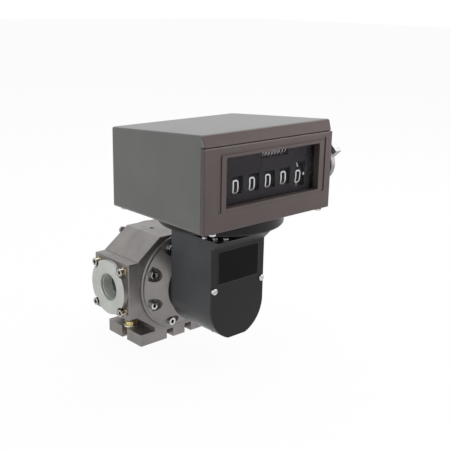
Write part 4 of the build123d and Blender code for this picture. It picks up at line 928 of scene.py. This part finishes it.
def surround(scene, strength):
    """Even white light all round that looks full white to the camera and in reflections."""
    world = bpy.data.worlds.new("studio")
    scene.world = world
    world.use_nodes = True
    nodes = world.node_tree.nodes
    link = world.node_tree.links.new
    background = nodes["Background"]
    background.inputs["Color"].default_value = (1, 1, 1, 1)
    spread = output_range(nodes, strength, 1.0)
    link(seen_rays(nodes, link), spread.inputs["Value"])
    link(spread.outputs["Result"], background.inputs["Strength"])


def lamp(name, place, target, side, power, colour):
    light = bpy.data.lights.new(name, "AREA")
    light.shape = "SQUARE"
    light.size = side
    light.energy = power
    light.color = colour
    item = new_object(name, light)
    direction = Vector(target) - Vector(place)
    item.location = place
    item.rotation_euler = direction.to_track_quat("-Z", "Y").to_euler()


def place_camera(scene, stage):
    turn = radians(stage.camera_turn)
    dip = radians(stage.camera_dip)
    roll = radians(stage.camera_roll)
    forward = Vector((cos(dip) * sin(turn), cos(dip) * cos(turn), -sin(dip)))
    right = Vector((cos(turn), -sin(turn), 0))
    up = right.cross(forward)
    rolled_right = right * cos(roll) + up * sin(roll)
    rolled_up = up * cos(roll) - right * sin(roll)
    matrix = Matrix((rolled_right, rolled_up, -forward)).transposed().to_4x4()
    matrix.translation = Vector(stage.camera_place)
    camera = bpy.data.cameras.new("photo_camera")
    camera.lens = stage.camera_lens
    camera.sensor_width = 36.0
    camera.clip_start = 0.05
    camera.clip_end = 60.0
    item = new_object("photo_camera", camera)
    item.matrix_world = matrix
    scene.camera = item


# Metal body, covers and flanges

THREAD_RADIUS = 22.2 * MM
THREAD_DEPTH = 1.0 * MM
THREAD_RUNOUT = 0.1 * MM
THREAD_FROM = 23.5 * MM  # how deep in the mouth the thread begins and ends
THREAD_TO = 3 * MM
MOUTH_REACH = 24 * MM  # faces nearer than this to the pipe's axis are in the mouth
FACE_DEPTH = 2 * MM  # end faces of a flange within this depth are turned bright
FLANGE_LEAST_FACE = 0.00001  # m2; edges beside smaller faces, in the mouth, stay sharp


class FLOWMETER_OT_body(bpy.types.Operator):
    """Meter body, covers and pipe flanges with softly rounded machined edges"""

    bl_idname = "flow_meter.body"
    bl_label = "Metal Body"

    def execute(self, context):
        detail = context.scene.flow_meter_detail
        edge = detail.edge_round
        dressed(
            "meter_body", "body_metal", edge, edge_paint="body_metal_edge",
            soft=(3 * edge, 0.0002, True),
        )
        for node in ("front_cover", "rear_cover"):
            dressed(node, "cover_metal", edge / 2)
        for node, side in (("inlet_flange", -1), ("outlet_flange", 1)):
            flange = dressed(
                node, "body_metal", edge, edge_paint="body_metal_edge", least=FLANGE_LEAST_FACE
            )
            low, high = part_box(node)
            end = low[0] if side < 0 else high[0]
            paint_faces(
                flange,
                "turned_face_metal",
                lambda centre, normal: abs(centre.x) > abs(end) - FACE_DEPTH
                and abs(normal.x) > 0.5,
            )
            paint_faces(
                flange,
                "port_metal",
                lambda centre, normal: hypot(centre.y, centre.z - PIPE_AXIS) < MOUTH_REACH
                and abs(normal.x) < 0.9,
            )
            pipe_thread(node, side, end, detail.thread_pitch)
        return {"FINISHED"}


def pipe_thread(node, side, end, pitch):
    """Fine thread turns inside the mouth of a pipe flange."""
    start = abs(end) - THREAD_FROM
    count = floor((THREAD_FROM - THREAD_TO) / pitch)
    columns = 72
    flank = THREAD_RADIUS - THREAD_RUNOUT
    profile = [(start, THREAD_RADIUS)]
    for turn in range(count):
        profile.append((start + pitch * (turn + 0.15), flank))
        profile.append((start + pitch * (turn + 0.5), THREAD_RADIUS - THREAD_DEPTH))
        profile.append((start + pitch * (turn + 0.85), flank))
    profile.append((start + pitch * count, THREAD_RADIUS))
    points = []
    faces = []
    for place, radius in profile:
        for column in range(columns):
            angle = 2 * pi * column / columns
            up = PIPE_AXIS + radius * sin(angle)
            points.append((side * place, radius * cos(angle), up))
    rings = len(profile)
    for ring in range(rings):
        after_ring = (ring + 1) % rings
        for column in range(columns):
            after = (column + 1) % columns
            faces.append(
                (
                    ring * columns + column,
                    after_ring * columns + column,
                    after_ring * columns + after,
                    ring * columns + after,
                )
            )
    piece = new_object(node + "_thread", solid_mesh(points, faces, node + "_thread"))
    piece.data.materials.append(finish("port_metal"))
    smooth_by_angle(piece.data, 30)
    settle(piece, node, replace=False)


# Gear housing

LABEL_WIDTH = 84.4 * MM
LABEL_HEIGHT = 53 * MM
LABEL_CORNER = 2.5 * MM
LABEL_INNER_CORNER = 1.8 * MM
LABEL_DROP = 31.5 * MM  # from the top of the front plate to the label's middle
LABEL_RIM = 1 * MM


class FLOWMETER_OT_housing(bpy.types.Operator):
    """Dark gear housing with its front plate and a bare label"""

    bl_idname = "flow_meter.housing"
    bl_label = "Gear Housing"

    def execute(self, context):
        detail = context.scene.flow_meter_detail
        for node, paint in (
            ("gear_housing", "housing_paint"), ("housing_front_plate", "plate_paint")
        ):
            dressed(node, paint, detail.paint_round, edge_paint="housing_edge_paint")
        low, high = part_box("housing_front_plate")
        middle = high[2] - LABEL_DROP
        front = low[1] - detail.label_thickness
        outline = rounded_rectangle(LABEL_WIDTH, LABEL_HEIGHT, LABEL_CORNER)
        bare_plate("bare_label_rim", "label_rim", outline, middle, (front, low[1] - 0.02 * MM))
        inner = rounded_rectangle(
            LABEL_WIDTH - 2 * LABEL_RIM, LABEL_HEIGHT - 2 * LABEL_RIM, LABEL_INNER_CORNER
        )
        depths = (front - 0.15 * MM, front + 0.1 * MM)
        bare_plate("bare_label", "label_face", inner, middle, depths)
        return {"FINISHED"}


def bare_plate(name, material, outline, middle, depths):
    """Thin upright plate on the housing's front, its outline about a middle height."""
    mesh = plate_mesh([(x, z + middle) for x, z in outline], 1, *depths, name)
    mesh.materials.append(finish(material))
    settle(new_object(name, mesh), "housing_front_plate", replace=False)


# Counter

GLASS_EDGE = 0.1 * MM
DIAL_EDGE = 0.15 * MM
WHEEL_EDGE = 0.2 * MM
WHEEL_DIGIT_MIDDLE = 15.5 * MM  # from a number wheel's left side to its digits' middle
WHEEL_TILT = radians(-1.1)
UNITS_TILT = radians(-4.7)
ARROW_TURN = radians(-23)  # where the arrow is painted on the units wheel
POINTER_INSET = 7.3 * MM
POINTER_RISE = 1.3 * MM
SMALL_DIGIT_WIDTH = 3.6 * MM
SMALL_DIGIT_STROKE = 0.8 * MM
SMALL_TILT = radians(-12)
# Digit that each totaliser wheel shows at rest, from left to right.
TOTALISER_SHIFTS = {
    "totaliser_first_wheel": (7,),
    "totaliser_upper_wheels": (0, 0, 0, 0, 0, 0, 3),
}


class FLOWMETER_OT_counter(bpy.types.Operator):
    """Painted counter case, front frame, round support and window glass"""

    bl_idname = "flow_meter.counter"
    bl_label = "Counter Case"

    def execute(self, context):
        detail = context.scene.flow_meter_detail
        case = dressed(
            "counter_case", "case_paint", detail.edge_round, edge_paint="case_edge_paint",
            soft=(4.5 * detail.paint_round, 0.002, False),
        )
        # The nose of the case, which faces the front, is made brown like the front frame: painted
        # shade, given to every face of the case that points to the front, for the brownish light
        # those faces take.
        paint_faces(case, "frame_paint", lambda centre, normal: normal.y < -0.35)
        dressed(
            "counter_front_frame", "frame_paint", detail.paint_round,
            edge_paint="frame_edge_paint", soft=(2.5 * detail.paint_round, 0.0006, False),
        )
        dressed("counter_mount_disc", "plate_paint", detail.edge_round)
        dressed("window_glass", "window_glass", GLASS_EDGE, segments=1)
        return {"FINISHED"}


class FLOWMETER_OT_dial(bpy.types.Operator):
    """Matt dial plate with its pointer"""

    bl_idname = "flow_meter.dial"
    bl_label = "Dial"

    def execute(self, context):
        dressed("dial_plate", "dial_face", DIAL_EDGE, segments=1)
        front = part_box("dial_plate")[0][1]
        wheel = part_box("number_wheel_5")
        right = wheel[1][0] - POINTER_INSET
        middle = (wheel[0][2] + wheel[1][2]) / 2 + POINTER_RISE
        pointer = [
            (right - 2.6 * MM, middle),
            (right + 1.4 * MM, middle - 2.6 * MM),
            (right + 1.4 * MM, middle + 2.6 * MM),
        ]
        mesh = plate_mesh(pointer, 1, front - 0.12 * MM, front - 0.01 * MM, "pointer")
        mesh.materials.append(finish("mark_paint"))
        settle(new_object("units_pointer", mesh), "dial_plate", replace=False)
        return {"FINISHED"}


def wheel_place(low, high, centre_x):
    """Centre x, axis y, axis z and radius of a wheel, from its box."""
    return centre_x, (low[1] + high[1]) / 2, (low[2] + high[2]) / 2, (high[2] - low[2]) / 2


class FLOWMETER_OT_wheels(bpy.types.Operator):
    """Number wheels and totaliser wheels with their painted digits"""

    bl_idname = "flow_meter.wheels"
    bl_label = "Number Wheels"

    def execute(self, context):
        detail = context.scene.flow_meter_detail
        for number in range(1, 6):
            node = f"number_wheel_{number}"
            dressed(node, "wheel_plastic", WHEEL_EDGE, segments=1, limit=60)
            low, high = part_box(node)
            digits = digit_ring(
                node + "_digits", wheel_place(low, high, low[0] + WHEEL_DIGIT_MIDDLE),
                detail.digit_width, detail.digit_height, detail.digit_stroke,
                tilt=UNITS_TILT if number == 5 else WHEEL_TILT,
            )
            settle(digits, node, replace=False)
        low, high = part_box("number_wheel_5")
        x, y, z, radius = wheel_place(low, high, low[0] + WHEEL_DIGIT_MIDDLE)
        arrow = plate_mesh(
            [(-2.2 * MM, 1.2 * MM), (2.2 * MM, 1.2 * MM), (0.0, -1.6 * MM)],
            2, 0.0, 0.1 * MM, "arrow",
        )
        spot = (x, y - radius * cos(ARROW_TURN), z + radius * sin(ARROW_TURN))
        places = [(spot, (0, -cos(ARROW_TURN), sin(ARROW_TURN)), 0.0)]
        placed_copies("units_arrows", arrow, places, "mark_paint", "number_wheel_5", False)
        for node, shifts in TOTALISER_SHIFTS.items():
            for item, (low, high) in enumerate(solids_of(node)):
                digits = digit_ring(
                    f"{node}_digits_{item + 1}",
                    wheel_place(low, high, (low[0] + high[0]) / 2),
                    SMALL_DIGIT_WIDTH, detail.small_digit_height, SMALL_DIGIT_STROKE,
                    tilt=SMALL_TILT, shift=shifts[item],
                )
                settle(digits, node, replace=False)
            repaint(node, "wheel_plastic")
        return {"FINISHED"}


# Screws, bolts and washers

LOCK_WASHER_BORE = 8.6 * MM
WASHER_EDGE = 0.4 * MM
SCREW_EDGE = 0.2 * MM
KNOB_EDGE = 0.9 * MM


def cap_screw(length, head_radius=6.5, head_height=8.0, socket=3.0):
    """Cap screw with a knurled head and a hexagon socket, its head's top at height 0.

    Sizes are in millimetres; the rings run from the bottom of the socket to the shank's end.
    """
    flats = hexagon(socket * MM)

    def knurl(angle):
        return (head_radius - (0.22 if round(angle * 48 / pi) % 2 else 0.0)) * MM

    rings = [
        (-4.0 * MM, flats),
        (-0.35 * MM, flats),
        (0.0, hexagon((socket + 0.35) * MM)),
        (0.0, (head_radius - 0.75) * MM),
        (-0.25 * MM, (head_radius - 0.25) * MM),
        (-1.1 * MM, (head_radius - 0.05) * MM),
        (-1.3 * MM, knurl),
        (-(head_height - 1.0) * MM, knurl),
        (-(head_height - 0.7) * MM, (head_radius - 0.05) * MM),
        (-head_height * MM, (head_radius - 0.1) * MM),
        (-head_height * MM, 4.0 * MM),
        (-length * MM, 4.0 * MM),
    ]
    return turned(rings, 96, "cap_screw")


def socket_shade(socket=3.0):
    """Dark hexagon plug in a screw's socket: painted shade, standing in for the shade deep inside
    the socket.
    """
    flats = hexagon(0.97 * socket * MM)
    return turned([(-0.6 * MM, flats), (-3.8 * MM, flats)], 96, "socket_shade")


def hexagon_bolt(length):
    """Hexagon head bolt with a chamfered crown, its head's top at height 0."""
    flats = hexagon(8.9 * MM)
    rings = [
        (-0.02 * MM, 3.0 * MM),
        (0.0, 7.6 * MM),
        (-0.35 * MM, 8.6 * MM),
        (-0.9 * MM, lambda angle: min(flats(angle), 9.5 * MM)),
        (-1.7 * MM, flats),
        (-6.6 * MM, flats),
        (-7.0 * MM, lambda angle: min(flats(angle), 9.2 * MM)),
        (-7.0 * MM, 6.0 * MM),
        (-length * MM, 6.0 * MM),
    ]
    return turned(rings, 72, "hexagon_bolt")


def split_washer(outer, inner, thickness):
    """Lock washer: a square section ring, cut once and slightly sprung."""
    points = []
    faces = []
    steps = 60
    for step in range(steps + 1):
        share = step / steps
        angle = radians(6) + (2 * pi - radians(12)) * share
        lift = (share - 0.5) * 0.25 * thickness
        for radius, height in (
            (inner, 0.12), (inner, 0.88), (inner + 0.25 * MM, 1.0), (outer - 0.25 * MM, 1.0),
            (outer, 0.88), (outer, 0.12), (outer - 0.25 * MM, 0.0), (inner + 0.25 * MM, 0.0),
        ):
            tall = (height - 0.5) * thickness * 0.8
            points.append((radius * cos(angle), radius * sin(angle), tall + lift))
    for step in range(steps):
        for corner in range(8):
            after = (corner + 1) % 8
            here = step * 8
            faces.append((here + corner, here + after, here + 8 + after, here + 8 + corner))
    faces.append(tuple(range(8)))
    faces.append(tuple(reversed(range(steps * 8, steps * 8 + 8))))
    return solid_mesh(points, faces, "split_washer")


class FLOWMETER_OT_screws(bpy.types.Operator):
    """Cap screws, lock washers, foot bolts and slotted screws"""

    bl_idname = "flow_meter.screws"
    bl_label = "Screws"

    def execute(self, context):
        plating = "bright_plating"
        # The socket plugs carry painted shade: a near-black finish where the sockets' depths are
        # shaded.
        shade = "socket_black"
        front = []
        rear = []
        for number, (low, high) in enumerate(solids_of("cover_screws")):
            x = (low.x + high.x) / 2
            z = (low.z + high.z) / 2
            turn = radians(17 * number)
            if low.y < 0:
                front.append(((x, low.y, z), (0, -1, 0), turn))
                front_screw = cap_screw((high.y - low.y) / MM)
            else:
                rear.append(((x, high.y, z), (0, 1, 0), turn))
                rear_screw = cap_screw((high.y - low.y) / MM)
        placed_copies("front_cover_screws", front_screw, front, plating, "cover_screws")
        placed_copies("rear_cover_screws", rear_screw, rear, plating, "cover_screws", False)
        shades = front + rear
        placed_copies("cover_socket_shades", socket_shade(), shades, shade, "cover_screws", False)
        places = []
        for number, (low, high) in enumerate(solids_of("flange_screws")):
            side = -1 if low.x < 0 else 1
            end = low.x if side < 0 else high.x
            spot = (end, (low.y + high.y) / 2, (low.z + high.z) / 2)
            places.append((spot, (side, 0, 0), radians(23 * number)))
        screw = cap_screw((high.x - low.x) / MM)
        placed_copies("flange_cap_screws", screw, places, "screw_steel", "flange_screws")
        placed_copies("flange_socket_shades", socket_shade(), places, shade, "flange_screws", False)
        places = []
        for number, (low, high) in enumerate(solids_of("flange_lock_washers")):
            side = -1 if low.x < 0 else 1
            places.append(((low + high) / 2, (side, 0, 0), radians(61 * number)))
        zinc = "yellow_zinc"
        washer = split_washer((high.z - low.z) / 2, LOCK_WASHER_BORE / 2, high.x - low.x)
        placed_copies("flange_split_washers", washer, places, zinc, "flange_lock_washers")
        places = []
        for low, high in solids_of("foot_bolts"):
            spot = ((low.x + high.x) / 2, (low.y + high.y) / 2, high.z)
            places.append((spot, (0, 0, 1), radians(12)))
        bolt = hexagon_bolt((high.z - low.z) / MM)
        placed_copies("foot_bolts_zinc", bolt, places, zinc, "foot_bolts")
        dressed("foot_washers", "washer_steel", WASHER_EDGE)
        for node in ("plate_screws", "housing_top_screws", "counter_screws"):
            dressed(node, plating, SCREW_EDGE)
        return {"FINISHED"}


class FLOWMETER_OT_knob(bpy.types.Operator):
    """Reset knob with rounded edges"""

    bl_idname = "flow_meter.knob"
    bl_label = "Reset Knob"

    def execute(self, context):
        dressed("reset_knob", "knob_plastic", KNOB_EDGE, segments=3)
        return {"FINISHED"}


INNER_FINISHES = {
    "inner_steel": (
        "bearing_plate", "counter_floor_plate", "mechanism_frame", "totaliser_bracket",
        "drive_rotor_shaft", "drive_timing_gear", "idle_rotor_shaft", "idle_timing_gear",
        "output_shaft", "cross_shaft", "cross_bevel_gear", "vertical_shaft",
        "vertical_bevel_gears", "counter_drive_shaft", "counter_bevel_gear", "wheel_shaft",
        "reset_shaft",
    ),
    "inner_brass": (
        "large_change_gear", "small_change_gear", "counter_drive_gear", "transfer_pinion_1",
        "transfer_pinion_2", "transfer_pinion_3", "transfer_pinion_4",
    ),
    "inner_bronze": ("rotor_bushes", "gear_train_bushes"),
    "turned_face_metal": ("drive_rotor", "idle_rotor"),
    "seal_rubber": ("seal_rings", "output_seal"),
    "bright_plating": ("neck_screws",),
}


class FLOWMETER_OT_inner_parts(bpy.types.Operator):
    """Finishes of the rotors, gears, shafts, bushes and seals inside"""

    bl_idname = "flow_meter.inner_parts"
    bl_label = "Inner Parts"

    def execute(self, context):
        for paint, nodes in INNER_FINISHES.items():
            for node in nodes:
                repaint(node, paint)
        return {"FINISHED"}


OPERATORS = (
    FLOWMETER_OT_stage,
    FLOWMETER_OT_body,
    FLOWMETER_OT_housing,
    FLOWMETER_OT_counter,
    FLOWMETER_OT_dial,
    FLOWMETER_OT_wheels,
    FLOWMETER_OT_screws,
    FLOWMETER_OT_knob,
    FLOWMETER_OT_inner_parts,
)


class FLOWMETER_PT_sidebar(bpy.types.Panel):
    """The steps that finish the flow meter"""

    bl_idname = "FLOWMETER_PT_sidebar"
    bl_label = "Flow Meter"
    bl_space_type = "VIEW_3D"
    bl_region_type = "UI"
    bl_category = "Flow Meter"

    def draw(self, context):
        for operator in OPERATORS:
            self.layout.operator(operator.bl_idname)


SETTINGS = {
    "flow_meter_stage": StageSettings,
    "flow_meter_finish": FinishSettings,
    "flow_meter_detail": DetailSettings,
}


def register():
    for group in SETTINGS.values():
        bpy.utils.register_class(group)
    for name, group in SETTINGS.items():
        setattr(bpy.types.Scene, name, bpy.props.PointerProperty(type=group))
    for item in (*OPERATORS, FLOWMETER_PT_sidebar):
        bpy.utils.register_class(item)


def unregister():
    for item in (FLOWMETER_PT_sidebar, *reversed(OPERATORS)):
        bpy.utils.unregister_class(item)
    for name in SETTINGS:
        delattr(bpy.types.Scene, name)
    for group in SETTINGS.values():
        bpy.utils.unregister_class(group)


def main():
    register()
    for operator in OPERATORS:
        category, name = operator.bl_idname.split(".")
        getattr(getattr(bpy.ops, category), name)()


if __name__ == "__main__":
    main()
